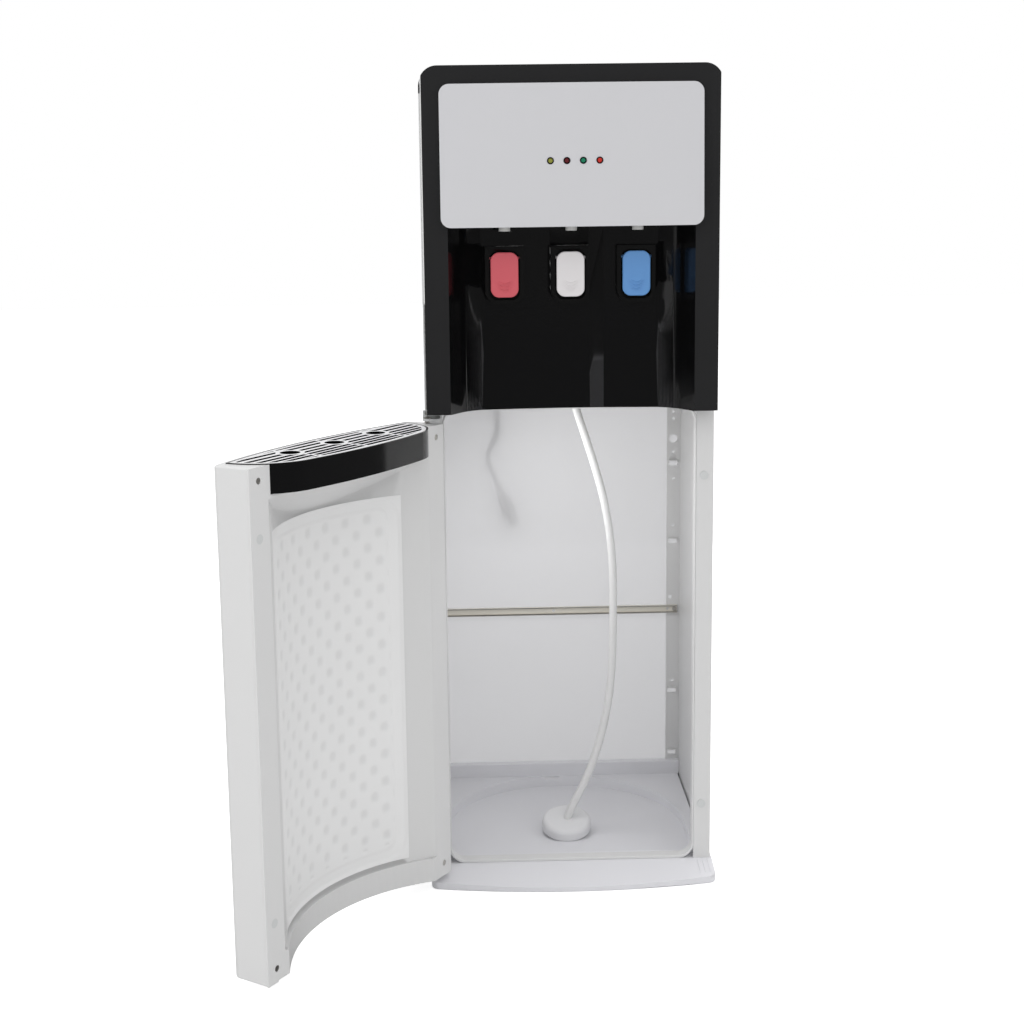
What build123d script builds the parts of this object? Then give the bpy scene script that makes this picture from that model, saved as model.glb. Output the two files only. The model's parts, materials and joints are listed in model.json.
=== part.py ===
from build123d import *
import os
from math import cos, pi, radians, sin, tan

os.makedirs("parts", exist_ok=True)

# Bottom load water cooler, standing with its door open.
# Millimetres. +Z up, the front looks along -Y, and the origin is on the floor under
# the middle of the base. Depths are set out from the plane of the front flanges.

# ------------------------------------------------------------------ driving dimensions
HEIGHT = 945.0            # floor to the top cover
HALF_W = 166.0            # outer half width of the folded side panels
FY = -115.0               # plane of the cabinet's front flanges
DEPTH = 271.0             # front flange plane to the rear flanges' inner face
SHEET = 1.2               # steel sheet of the side panels
WALL = 2.5                # moulded covers
FASCIA_Z = 565.5          # lower edge of the black front
FASCIA_HALF_W = 165.0     # where it meets the cabinet
FASCIA_DRAFT = 2.5        # its sides draw in this much towards the front
FASCIA_PROUD = 46.3       # how far the front stands out from the flanges
FASCIA_TOP_R = 20.0       # rounded top corners of the front and the top cover
NICHE_TOP = 775.0         # ceiling of the dispensing bay
TAP_PITCH = 73.6          # spacing of the three taps, and of the drip grille's rings
TAPS_X = (-TAP_PITCH, 0.0, TAP_PITCH)
BASE_H = 16.5             # top of the plinth, where the side panels stand
BASE_HALF_W = 168.0
PLINTH_BOW = 17.0         # how far the plinth's front edge bows out in the middle
DOOR_HALF_W = 168.0
DOOR_LOW = 18.0
DOOR_TOP = 553.0
DOOR_THICK = 46.3         # thickness at the door's edges
DOOR_BOW = 17.0           # its front skin bows out this much more in the middle
DOOR_GAP = 1.5            # closed door's inner face to the front flanges
DOOR_OPEN = 123.57        # angle the door stands open, in degrees
PIN_R = 3.0               # hinge pins
FIT = 0.06                # radial running clearance of pins and shafts
REAR_COVER_Y = FY + 300.0 # outer face of the cover behind the tanks
SIDE_TOP = 918.0          # where the side panels end under the top cover

REAR_Y = FY + DEPTH


def upright(y):
    """A plane that faces the front at depth y: local y is up, and extrusions go to the front."""
    return Plane(origin=(0, y, 0), x_dir=(1, 0, 0), z_dir=(0, -1, 0))


def save(builder, name):
    builder.part.label = name
    export_step(builder.part, f"parts/{name}.step")


# ------------------------------------------------------------------ base with its floor tray
PLINTH_EDGE_Y = FY - 36.0
BASE_BACK_Y = FY + 283.0
LIP_H = 6.0               # height of the plinth's front lip
SILL_Y = FY + 14.3        # the floor tray starts behind the opening trim
TRAY_FLOOR = 13.0
TRAY_FRONT_H = 20.0
TRAY_REAR_H = 26.0
TRAY_REAR_Y = FY + 262.0
WELL_R = 148.0            # sunk D-shaped well that centres the bottle
PIN_X = -163.0            # hinge axis
PIN_Y = FY - 19.5
PIN_BOSS_TOP = 17.2
PIN_SEAT = 9.0            # the lower pin is pressed in down to here

with BuildPart() as base_tray:
    with BuildSketch():
        with BuildLine():
            Polyline(
                (-BASE_HALF_W, PLINTH_EDGE_Y),
                (-BASE_HALF_W, BASE_BACK_Y),
                (BASE_HALF_W, BASE_BACK_Y),
                (BASE_HALF_W, PLINTH_EDGE_Y),
            )
            ThreePointArc(
                (BASE_HALF_W, PLINTH_EDGE_Y),
                (0, PLINTH_EDGE_Y - PLINTH_BOW),
                (-BASE_HALF_W, PLINTH_EDGE_Y),
            )
        make_face()
        fillet(vertices(), 10)
    extrude(amount=BASE_H)
    fillet(edges().group_by(Axis.Z)[0], 1.5)
    # the top of the plinth falls away to a thin lip at the front
    with BuildSketch(Plane.YZ):
        Polygon(
            (FY - 1, BASE_H),
            (FY - 53, LIP_H),
            (FY - 70, LIP_H),
            (FY - 70, BASE_H + 5),
            (FY - 1, BASE_H + 5),
            align=None,
        )
    extrude(amount=BASE_HALF_W + 5, both=True, mode=Mode.SUBTRACT)
    # floor tray between the side panels, rising to the back
    with BuildSketch(Plane.YZ):
        Polygon(
            (SILL_Y, BASE_H),
            (SILL_Y, TRAY_FRONT_H),
            (TRAY_REAR_Y, TRAY_REAR_H),
            (REAR_Y - 0.2, TRAY_REAR_H),
            (REAR_Y - 0.2, BASE_H),
            align=None,
        )
    extrude(amount=162.5, both=True)
    # well, square at the front and half round at the back
    with BuildSketch(Plane.XY.offset(TRAY_FLOOR)):
        with BuildLine():
            Line((WELL_R, TRAY_REAR_Y - WELL_R - 3), (WELL_R, SILL_Y + 4))
            Line((WELL_R, SILL_Y + 4), (-WELL_R, SILL_Y + 4))
            Line((-WELL_R, SILL_Y + 4), (-WELL_R, TRAY_REAR_Y - WELL_R - 3))
            ThreePointArc(
                (-WELL_R, TRAY_REAR_Y - WELL_R - 3),
                (0, TRAY_REAR_Y - 3),
                (WELL_R, TRAY_REAR_Y - WELL_R - 3),
            )
        make_face()
        fillet(vertices().group_by(Axis.Y)[0], 14)
    extrude(amount=14, taper=-8, mode=Mode.SUBTRACT)
    # ribbed underside
    with BuildSketch():
        with Locations((0, FY + 130)):
            with GridLocations(80, 66, 4, 4):
                Rectangle(72, 60)
    extrude(amount=10, mode=Mode.SUBTRACT)
    # boss for the lower hinge pin
    with Locations((PIN_X, PIN_Y, 0)):
        Cylinder(4.9, PIN_BOSS_TOP, align=(Align.CENTER, Align.CENTER, Align.MIN))
    with Locations((PIN_X, PIN_Y, PIN_SEAT)):
        Cylinder(PIN_R, 20, align=(Align.CENTER, Align.CENTER, Align.MIN), mode=Mode.SUBTRACT)
    # three glide ribs that carry the free edge of the closing door
    for x in (151.0, 157.0, 163.0):
        with BuildSketch(Plane.YZ.offset(x)):
            Polygon(
                (FY - 30, 8),
                (FY - 30, 11.4),
                (FY - 4, 17.0),
                (FY - 2, 16.0),
                (FY - 2, 12),
                align=None,
            )
        extrude(amount=0.9, both=True)
save(base_tray, "base_tray")

# rail behind the floor tray, that closes the foot of the back
SILL_TOP = 44.0
with BuildPart() as rear_sill:
    with BuildSketch(Plane.YZ):
        Polygon(
            (TRAY_REAR_Y, TRAY_REAR_H),
            (TRAY_REAR_Y, SILL_TOP),
            (REAR_Y - 0.2, SILL_TOP),
            (REAR_Y - 0.2, TRAY_REAR_H),
            align=None,
        )
    extrude(amount=164.5, both=True)
    fillet(edges().filter_by(Axis.X).group_by(Axis.Y)[0].group_by(Axis.Z)[-1], 1.5)
save(rear_sill, "rear_sill")

# ------------------------------------------------------------------ folded side panels
FLANGE_IN = 146.0         # inner edge of the front flanges, the edge of the door opening
REAR_FLANGE_IN = 147.3
HOLE_X = 155.5
SMALL_HOLES_Z = (520.0, 511.0, 467.0, 431.0, 368.0, 154.7)
LANCED_TABS_Z = (456.8, 352.0, 146.0, 58.8)

with BuildPart() as right_side_panel:
    with BuildSketch(Plane.XY.offset(BASE_H)):
        Polygon(
            (FLANGE_IN, FY),
            (HALF_W, FY),
            (HALF_W, REAR_Y + SHEET),
            (REAR_FLANGE_IN, REAR_Y + SHEET),
            (REAR_FLANGE_IN, REAR_Y),
            (HALF_W - SHEET, REAR_Y),
            (HALF_W - SHEET, FY + SHEET),
            (FLANGE_IN, FY + SHEET),
            align=None,
        )
        fillet(vertices().filter_by(lambda v: v.X > HALF_W - 0.1), 2)
    extrude(amount=SIDE_TOP - BASE_H)
    # punched holes of the rear flange
    with BuildSketch(upright(REAR_Y + SHEET)):
        with Locations(*[(HOLE_X, z) for z in SMALL_HOLES_Z]):
            Circle(2.1)
        with Locations((HOLE_X, 484.6)):
            Circle(5.5)
        with Locations((HOLE_X - 3, 270.5)):
            Circle(2.6)
        with Locations(*[(HOLE_X, z - 5) for z in LANCED_TABS_Z]):
            Rectangle(11, 7)
    extrude(amount=SHEET, mode=Mode.SUBTRACT)
    # tabs lanced out of the flange
    for z in LANCED_TABS_Z:
        with Locations((HOLE_X, REAR_Y - 2.4, z - 1)):
            Box(11, 6, 1)
save(right_side_panel, "right_side_panel")

with BuildPart() as left_side_panel:
    add(right_side_panel.part.mirror(Plane.YZ))
save(left_side_panel, "left_side_panel")

# ------------------------------------------------------------------ trim round the opening
TRIM_TOP = 566.8
TRIM_INNER_TOP = 564.0
TRIM_DEEP = 14.0
with BuildPart() as opening_trim:
    with BuildSketch(upright(FY + TRIM_DEEP)):
        with Locations((0, (BASE_H + TRIM_TOP) / 2)):
            RectangleRounded(2 * FLANGE_IN - 0.2, TRIM_TOP - BASE_H, 18)
        with Locations((0, (TRAY_FRONT_H + TRIM_INNER_TOP) / 2)):
            RectangleRounded(2 * FLANGE_IN - 4, TRIM_INNER_TOP - TRAY_FRONT_H, 16, mode=Mode.SUBTRACT)
    extrude(amount=TRIM_DEEP)
    fillet(edges().group_by(Axis.Y)[0], 0.8)
save(opening_trim, "opening_trim")

# ------------------------------------------------------------------ translucent back panel
PANEL_Y = REAR_Y + SHEET + 0.2
PANEL_SHEET = 1.6
PANEL_SCREWS = [(x, z) for x in (-156, 156) for z in (45, 300, 540)]
with BuildPart() as back_panel:
    with BuildSketch(upright(PANEL_Y + PANEL_SHEET)):
        with Locations((0, 296)):
            RectangleRounded(322, 532, 4)
        with Locations(*PANEL_SCREWS):
            Circle(2, mode=Mode.SUBTRACT)
    extrude(amount=PANEL_SHEET)
save(back_panel, "back_panel")

# ------------------------------------------------------------------ steel crossbar
BAR_Z = 254.5
BAR_H = 10.5
with BuildPart() as crossbar:
    with BuildSketch(Plane.YZ):
        Polygon(
            (REAR_Y, BAR_Z - BAR_H / 2),
            (REAR_Y, BAR_Z + BAR_H / 2),
            (REAR_Y - 4, BAR_Z + BAR_H / 2),
            (REAR_Y - 4, BAR_Z + BAR_H / 2 - 1.2),
            (REAR_Y - 1.2, BAR_Z + BAR_H / 2 - 1.2),
            (REAR_Y - 1.2, BAR_Z - BAR_H / 2 + 1.2),
            (REAR_Y - 4, BAR_Z - BAR_H / 2 + 1.2),
            (REAR_Y - 4, BAR_Z - BAR_H / 2),
            align=None,
        )
    extrude(amount=161.5, both=True)
    with BuildSketch(upright(REAR_Y)):
        with Locations((-149, BAR_Z), (-3.5, BAR_Z), (149, BAR_Z)):
            Circle(1.9)
        with Locations((-158, BAR_Z), (158, BAR_Z)):
            Circle(1.5)
    extrude(amount=2, mode=Mode.SUBTRACT)
save(crossbar, "crossbar")

# pan-head screws of the crossbar and of the back panel
with BuildPart() as cabinet_screws:
    for places, seat, shank, head in (
        ([(-158, BAR_Z), (158, BAR_Z)], REAR_Y - 1.2, -1.2, 1.5),
        (PANEL_SCREWS, PANEL_Y + PANEL_SHEET, 1.7, -1.8),
    ):
        with BuildSketch(upright(seat)):
            with Locations(*places):
                Circle(1.5)
        extrude(amount=shank)
        with BuildSketch(upright(seat)):
            with Locations(*places):
                Circle(2.9)
        extrude(amount=head)
save(cabinet_screws, "cabinet_screws")

# ------------------------------------------------------------------ deck that carries the tanks
DECK_Z = 567.0
DECK_TOP = DECK_Z + WALL
DECK_W = 329.2
DECK_LONG = 266.8
HOSE_EXIT = (10.0, FY + 98.0, DECK_Z - 1)
with BuildPart() as deck_plate:
    with BuildSketch(Plane.XY.offset(DECK_Z)):
        with Locations((0, REAR_Y - DECK_LONG / 2 - 0.2)):
            Rectangle(DECK_W, DECK_LONG)
        with Locations(HOSE_EXIT[:2]):
            Circle(10, mode=Mode.SUBTRACT)
    extrude(amount=WALL)
    with BuildSketch(Plane.XY.offset(DECK_TOP)):
        with Locations((0, REAR_Y - DECK_LONG / 2 - 0.2)):
            Rectangle(DECK_W, DECK_LONG)
            Rectangle(DECK_W - 4, DECK_LONG - 4, mode=Mode.SUBTRACT)
    extrude(amount=12)
save(deck_plate, "deck_plate")

# ------------------------------------------------------------------ black front with its bay
BAY = {
    "mouth": (136.0, FY - FASCIA_PROUD),
    "fold": (124.0, FY - 27.0),
    "curve": (114.0, FY - 16.0),
    "seam": (100.0, FY - 8.0),
    "back": FY - 0.7,
}
LED_X = (-23.9, -6.1, 11.7, 29.5)
LED_Z = 842.5
LED_R = 2.7
NOZZLE_Y = FY - 34.0
HOUSING_W = 43.0
HOUSING_LOW = 686.0
HOUSING_TOP = 749.5
HOUSING_BACK = FY + 4.0

# square-topped outline of the housings, about its own middle
with BuildSketch() as housing_outline:
    Rectangle(HOUSING_W, HOUSING_TOP - HOUSING_LOW)
    fillet(vertices().group_by(Axis.Y)[0], 15)

with BuildSketch() as bay_outline:
    with BuildLine():
        ThreePointArc(
            (-BAY["seam"][0], BAY["seam"][1]),
            (0, BAY["back"]),
            BAY["seam"],
        )
        ThreePointArc(BAY["seam"], BAY["curve"], BAY["fold"])
        Polyline(
            BAY["fold"],
            BAY["mouth"],
            (BAY["mouth"][0], BAY["mouth"][1] - 20),
            (-BAY["mouth"][0], BAY["mouth"][1] - 20),
            (-BAY["mouth"][0], BAY["mouth"][1]),
            (-BAY["fold"][0], BAY["fold"][1]),
        )
        ThreePointArc(
            (-BAY["fold"][0], BAY["fold"][1]),
            (-BAY["curve"][0], BAY["curve"][1]),
            (-BAY["seam"][0], BAY["seam"][1]),
        )
    make_face()


def fascia_plan(inset):
    """Plan of the black front: its sides draw in towards its flat front face."""
    back = FASCIA_HALF_W - inset
    with BuildSketch(Plane.XY.offset(FASCIA_Z)) as plan:
        Polygon(
            (-back, FY),
            (back, FY),
            (back - FASCIA_DRAFT, FY - FASCIA_PROUD + inset),
            (-back + FASCIA_DRAFT, FY - FASCIA_PROUD + inset),
            align=None,
        )
    return plan.sketch


with BuildPart() as fascia_core:
    extrude(fascia_plan(WALL), amount=HEIGHT - FASCIA_Z)
    with BuildSketch(upright(FY)):
        with Locations((0, (FASCIA_Z + HEIGHT) / 2)):
            Rectangle(2 * (FASCIA_HALF_W - WALL), HEIGHT - FASCIA_Z - 2 * WALL)
        fillet(vertices().group_by(Axis.Y)[-1], FASCIA_TOP_R - WALL)
    extrude(amount=FASCIA_PROUD, mode=Mode.INTERSECT)
    with BuildSketch(Plane.XY.offset(FASCIA_Z)):
        add(bay_outline.sketch)
        offset(amount=WALL)
    extrude(amount=NICHE_TOP + WALL - FASCIA_Z, mode=Mode.SUBTRACT)

with BuildPart() as front_fascia:
    extrude(fascia_plan(0), amount=HEIGHT - FASCIA_Z)
    with BuildSketch(upright(FY)):
        with Locations((0, (FASCIA_Z + HEIGHT) / 2)):
            Rectangle(2 * FASCIA_HALF_W, HEIGHT - FASCIA_Z)
        fillet(vertices().group_by(Axis.Y)[-1], FASCIA_TOP_R)
    extrude(amount=FASCIA_PROUD, mode=Mode.INTERSECT)
    fillet(edges().group_by(Axis.Y)[0], 1.2)
    with BuildSketch(Plane.XY.offset(FASCIA_Z)):
        add(bay_outline.sketch)
    extrude(amount=NICHE_TOP - FASCIA_Z, mode=Mode.SUBTRACT)
    add(fascia_core.part, mode=Mode.SUBTRACT)
    with BuildSketch(Plane.XY.offset(NICHE_TOP)):
        with Locations(*[(x, NOZZLE_Y) for x in TAPS_X]):
            Circle(6.7)
    extrude(amount=WALL, mode=Mode.SUBTRACT)
    with BuildSketch(upright(FY + 5)):
        with Locations(*[(x, (HOUSING_LOW + HOUSING_TOP) / 2) for x in TAPS_X]):
            add(housing_outline.sketch)
        offset(amount=0.15)
    extrude(amount=20, mode=Mode.SUBTRACT)
    with BuildSketch(upright(FY - FASCIA_PROUD + WALL)):
        with Locations(*[(x, LED_Z) for x in LED_X]):
            Circle(LED_R + 0.1)
    extrude(amount=WALL, mode=Mode.SUBTRACT)
save(front_fascia, "front_fascia")

# ------------------------------------------------------------------ white control panel over the taps
PANEL_HALF_W = 143.3
PANEL_LOW = 772.0
PANEL_TOP = 925.0
PANEL_R = 11.0
PANEL_WALL = 2.2
PANEL_BOW = 4.0
PANEL_BACK_Y = FY - FASCIA_PROUD


def panel_section(z, edge, inset):
    """Plan of the panel at one height: flat back, front bowed between its two edges."""
    half = PANEL_HALF_W - inset
    front = PANEL_BACK_Y - edge + inset
    with BuildSketch(Plane.XY.offset(z)) as section:
        with BuildLine():
            Polyline((-half, front), (-half, PANEL_BACK_Y), (half, PANEL_BACK_Y), (half, front))
            ThreePointArc((half, front), (0, front - PANEL_BOW), (-half, front))
        make_face()
    return section.sketch


def panel_blank(inset):
    """The panel's rounded block, smaller all round by the inset: lofted plans cut to its outline."""
    with BuildPart() as blank:
        loft([
            panel_section(PANEL_LOW, PANEL_LOW_EDGE, inset),
            panel_section(PANEL_TOP, PANEL_TOP_EDGE, inset),
        ])
        with BuildSketch(upright(PANEL_BACK_Y)):
            with Locations((0, (PANEL_LOW + PANEL_TOP) / 2)):
                RectangleRounded(
                    2 * (PANEL_HALF_W - inset), PANEL_TOP - PANEL_LOW - 2 * inset, PANEL_R - inset
                )
        extrude(amount=30, mode=Mode.INTERSECT)
    return blank.part


PANEL_TOP_EDGE = 5.0      # how proud the panel stands at its top edge
PANEL_LOW_EDGE = 13.0     # and at its lower edge, where it hoods the taps
PANEL_SLOPE = (PANEL_LOW_EDGE - PANEL_TOP_EDGE) / (PANEL_TOP - PANEL_LOW)

with BuildPart() as control_panel:
    add(panel_blank(0))
    add(panel_blank(PANEL_WALL), mode=Mode.SUBTRACT)
    with BuildSketch(upright(PANEL_BACK_Y)):
        with Locations(*[(x, LED_Z) for x in LED_X]):
            Circle(LED_R + 0.1)
    extrude(amount=30, mode=Mode.SUBTRACT)
save(control_panel, "control_panel")

# ------------------------------------------------------------------ indicator lamps
LED_BACK = PANEL_BACK_Y + WALL
LED_TIP = PANEL_BACK_Y - PANEL_TOP_EDGE - (PANEL_TOP - LED_Z) * PANEL_SLOPE - 4.6
for lamp, x in zip(("power_led", "heating_led", "cooling_led", "empty_bottle_led"), LED_X):
    with BuildPart() as led:
        with BuildSketch(upright(LED_BACK)):
            with Locations((x, LED_Z)):
                Circle(LED_R)
        extrude(amount=LED_BACK - LED_TIP)
        fillet(edges().group_by(Axis.Y)[0], 1.2)
    save(led, lamp)

# ------------------------------------------------------------------ taps: nozzle, valve, housing, paddle
PADDLE_W = 31.0
PADDLE_LOW = 693.5
PADDLE_TOP = 743.5
PADDLE_FRONT = FY - 24.0
HOUSING_FRONT = FY - 20.0
TRUNNION_R = 1.5
PIVOT_Z = 737.0
PIVOT_Y = FY - 15.5
NOZZLE_LOW = 767.0
NOZZLE_R = 6.4
NOZZLE_BORE = 4.0
COLLAR_R = 8.2
VALVE_LOW = 785.0
VALVE_H = 30.0
VALVE_Y = FY - 29.0
with BuildPart() as nozzles:
    for x in TAPS_X:
        with BuildSketch(Plane.XZ.offset(-NOZZLE_Y)):
            Polygon(
                (x + NOZZLE_BORE, NOZZLE_LOW),
                (x + NOZZLE_R, NOZZLE_LOW),
                (x + NOZZLE_R, NICHE_TOP + WALL),
                (x + COLLAR_R, NICHE_TOP + WALL),
                (x + COLLAR_R, NICHE_TOP + WALL + 2),
                (x + NOZZLE_R, NICHE_TOP + WALL + 2),
                (x + NOZZLE_R, VALVE_LOW),
                (x + NOZZLE_BORE, VALVE_LOW),
                align=None,
            )
        revolve(axis=Axis((x, NOZZLE_Y, 0), (0, 0, 1)))
save(nozzles, "nozzles")

with BuildPart() as tap_valves:
    for x in TAPS_X:
        with BuildSketch(Plane.XY.offset(VALVE_LOW)):
            with Locations((x, VALVE_Y)):
                RectangleRounded(26, 26, 5)
        extrude(amount=VALVE_H)
        with BuildSketch(Plane.XY.offset(VALVE_LOW + VALVE_H)):
            with Locations((x, VALVE_Y)):
                Circle(9)
        extrude(amount=14)
        # inlet barb towards the tanks
        with BuildSketch(upright(FY + 4)):
            with Locations((x, 800)):
                Circle(4)
        extrude(amount=21)
save(tap_valves, "tap_valves")

with BuildPart() as paddle_housings:
    for x in TAPS_X:
        with BuildSketch(upright(HOUSING_BACK)):
            with Locations((x, (HOUSING_LOW + HOUSING_TOP) / 2)):
                add(housing_outline.sketch)
        extrude(amount=HOUSING_BACK - HOUSING_FRONT)
        # recess that the paddle swings into, and the pocket behind it
        with BuildSketch(upright(FY - 6.5)):
            with Locations((x, (HOUSING_LOW + HOUSING_TOP) / 2)):
                RectangleRounded(PADDLE_W + 3, HOUSING_TOP - HOUSING_LOW - 9, 9)
        extrude(amount=30, mode=Mode.SUBTRACT)
        with BuildSketch(upright(HOUSING_BACK)):
            with Locations((x, (HOUSING_LOW + HOUSING_TOP) / 2)):
                Rectangle(30, 46)
        extrude(amount=7, mode=Mode.SUBTRACT)
        # bearings of the paddle's trunnions
        with BuildSketch(Plane.YZ.offset(x)):
            with Locations((PIVOT_Y, PIVOT_Z)):
                Circle(TRUNNION_R + FIT)
        extrude(amount=PADDLE_W / 2 + 3.6, both=True, mode=Mode.SUBTRACT)
save(paddle_housings, "paddle_housings")

for name, x in zip(("hot", "room", "cold"), TAPS_X):
    with BuildPart() as paddle:
        with BuildSketch(upright(PADDLE_FRONT + 5)):
            with Locations((x, (PADDLE_LOW + PADDLE_TOP) / 2)):
                RectangleRounded(PADDLE_W, PADDLE_TOP - PADDLE_LOW, 9.5)
        extrude(amount=5)
        fillet(edges().group_by(Axis.Y)[0], 1.4)
        # trunnions on the back, and the tongue that works the valve
        with BuildSketch(Plane.YZ.offset(x)):
            with Locations((PIVOT_Y, PIVOT_Z)):
                Circle(TRUNNION_R)
        extrude(amount=PADDLE_W / 2 + 3.2, both=True)
        with BuildSketch(Plane.YZ.offset(x)):
            Polygon(
                (PADDLE_FRONT + 4, PIVOT_Z + 2.5),
                (PIVOT_Y + 1, PIVOT_Z + 2.5),
                (PIVOT_Y + 3, PIVOT_Z - 6),
                (PADDLE_FRONT + 4, PIVOT_Z - 20),
                align=None,
            )
        extrude(amount=5, both=True)
        # three raised arcs in the lower third of the face
        with BuildSketch(upright(PADDLE_FRONT + 0.2)):
            for z, half in ((710, 9.0), (705.5, 7.5), (701.5, 6.0)):
                with BuildLine():
                    ThreePointArc((x - half, z), (x, z - half / 2.6), (x + half, z))
                    Line((x + half, z), (x + half, z + 1.0))
                    ThreePointArc((x + half, z + 1.0), (x, z + 1.0 - half / 2.6), (x - half, z + 1.0))
                    Line((x - half, z + 1.0), (x - half, z))
                make_face()
        extrude(amount=0.7)
    save(paddle, f"{name}_paddle")

# ------------------------------------------------------------------ top cover
with BuildPart() as top_cover:
    with BuildSketch(upright(FY + 285)):
        with Locations((0, (SIDE_TOP + HEIGHT) / 2)):
            Rectangle(2 * HALF_W, HEIGHT - SIDE_TOP)
        fillet(vertices().group_by(Axis.Y)[-1], FASCIA_TOP_R)
    extrude(amount=285)
    with BuildSketch(upright(FY + 285 - WALL)):
        with Locations((0, (SIDE_TOP + HEIGHT - WALL) / 2)):
            Rectangle(2 * (HALF_W - WALL), HEIGHT - WALL - SIDE_TOP)
        fillet(vertices().group_by(Axis.Y)[-1], FASCIA_TOP_R - WALL)
    extrude(amount=285 - 2 * WALL, mode=Mode.SUBTRACT)
save(top_cover, "top_cover")

# ------------------------------------------------------------------ louvred rear cover
REAR_COVER_LOW = 566.0
REAR_COVER_TOP = 917.0
REAR_WALL = 2.2
LOUVRE_LOW = 618.0
LOUVRE_PITCH = 16.0
LOUVRE_COUNT = 14
CORD_X = -90.0
RELIEF_Z = 697.0
DRAIN_X = 112.0
DRAIN_Z = 600.0
SWITCHES_X = (96.0, 126.0)
SWITCH_Z = 876.0
with BuildPart() as rear_cover:
    with BuildSketch(Plane.XY.offset(REAR_COVER_LOW)):
        with Locations((0, (PANEL_Y + REAR_COVER_Y) / 2)):
            Rectangle(320, REAR_COVER_Y - PANEL_Y)
        fillet(vertices().group_by(Axis.Y)[-1], 8)
    extrude(amount=REAR_COVER_TOP - REAR_COVER_LOW)
    with BuildSketch(Plane.XY.offset(REAR_COVER_LOW + REAR_WALL)):
        with Locations((0, (PANEL_Y + REAR_COVER_Y - REAR_WALL) / 2)):
            Rectangle(320 - 2 * REAR_WALL, REAR_COVER_Y - REAR_WALL - PANEL_Y)
        fillet(vertices().group_by(Axis.Y)[-1], 6)
    extrude(amount=REAR_COVER_TOP - REAR_COVER_LOW - 2 * REAR_WALL, mode=Mode.SUBTRACT)
    with BuildSketch(upright(REAR_COVER_Y)):
        for row in range(LOUVRE_COUNT):
            with Locations((-40, LOUVRE_LOW + row * LOUVRE_PITCH), (40, LOUVRE_LOW + row * LOUVRE_PITCH)):
                Rectangle(68, 6)
        with Locations((CORD_X, RELIEF_Z)):
            Circle(5.6)
        with Locations((DRAIN_X, DRAIN_Z)):
            Circle(9)
        with Locations(*[(x, SWITCH_Z) for x in SWITCHES_X]):
            Rectangle(13.6, 21.6)
    extrude(amount=REAR_WALL, mode=Mode.SUBTRACT)
save(rear_cover, "rear_cover")

# ------------------------------------------------------------------ door, modelled standing open
OPEN = radians(DOOR_OPEN)
DOOR_X = (cos(OPEN), -sin(OPEN), 0)
DOOR_OUT = (-sin(OPEN), -cos(OPEN), 0)


def swing(x, y):
    """Where a point of the closed door's plan lies once the door stands open."""
    turned = Vector(x - PIN_X, y - PIN_Y, 0).rotate(Axis.Z, -DOOR_OPEN)
    return (PIN_X + turned.X, PIN_Y + turned.Y)


def door_level(z):
    """Level plane of the door: x runs to its free edge, y from its inner face to the bottle."""
    return Plane(origin=(*swing(0, FY - DOOR_GAP), z), x_dir=DOOR_X, z_dir=(0, 0, 1))


def door_face(depth):
    """Upright plane in the door, this deep behind its inner face; extrusions go outwards."""
    return Plane(origin=(*swing(0, FY - DOOR_GAP - depth), 0), x_dir=DOOR_X, z_dir=DOOR_OUT)


SKIN = 2.5
LINER = 2.2
RECESS_AXIS = 163.0       # axis of the round recess, this far in front of the inner face
ARCH_R = 211.0            # the recess where it runs out through the door's foot
RECESS_R = 215.0          # and above the foot, where it is a step deeper
RECESS_LOW = 46.0
RECESS_TOP = 483.0        # its slanted ceiling starts here
CEILING_TOP = 521.0       # and meets the inner face here
POCKET_HALF_W = 112.0     # shallow pocket of the stippled field
POCKET_LOW = 51.0
POCKET_TOP = 479.0
POCKET_DEEP = 1.6
TRAY_SEAT = 523.2
TRAY_LOW = 523.7
TRAY_RIM = 554.0
TRAY_TIP = (152.5, -42.0)
DOOR_SCREWS = ((-154, 33.5), (154, 33.5), (-154, 539.5), (154, 539.5))
MAGNETS = ((155, 83), (155, 482))
PIN_DEPTH = 18.0          # hinge axis behind the door's inner face

with BuildSketch() as door_outline:
    with BuildLine():
        Polyline(
            (-DOOR_HALF_W, -DOOR_THICK),
            (-DOOR_HALF_W, -LINER - 0.1),
            (DOOR_HALF_W, -LINER - 0.1),
            (DOOR_HALF_W, -DOOR_THICK),
        )
        ThreePointArc(
            (DOOR_HALF_W, -DOOR_THICK),
            (0, -DOOR_THICK - DOOR_BOW),
            (-DOOR_HALF_W, -DOOR_THICK),
        )
    make_face()
    fillet(vertices().group_by(Axis.Y)[0], 9)

# D-shaped drip tray: bowed with the door at the front, bulging over the opening behind
with BuildSketch() as tray_outline:
    with BuildLine():
        ThreePointArc((-TRAY_TIP[0], TRAY_TIP[1]), (0, -56.8), TRAY_TIP)
        ThreePointArc(TRAY_TIP, (137.3, -1.5), (99.3, 19.1))
        ThreePointArc((99.3, 19.1), (0, 26), (-99.3, 19.1))
        ThreePointArc((-99.3, 19.1), (-137.3, -1.5), (-TRAY_TIP[0], TRAY_TIP[1]))
    make_face()

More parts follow.
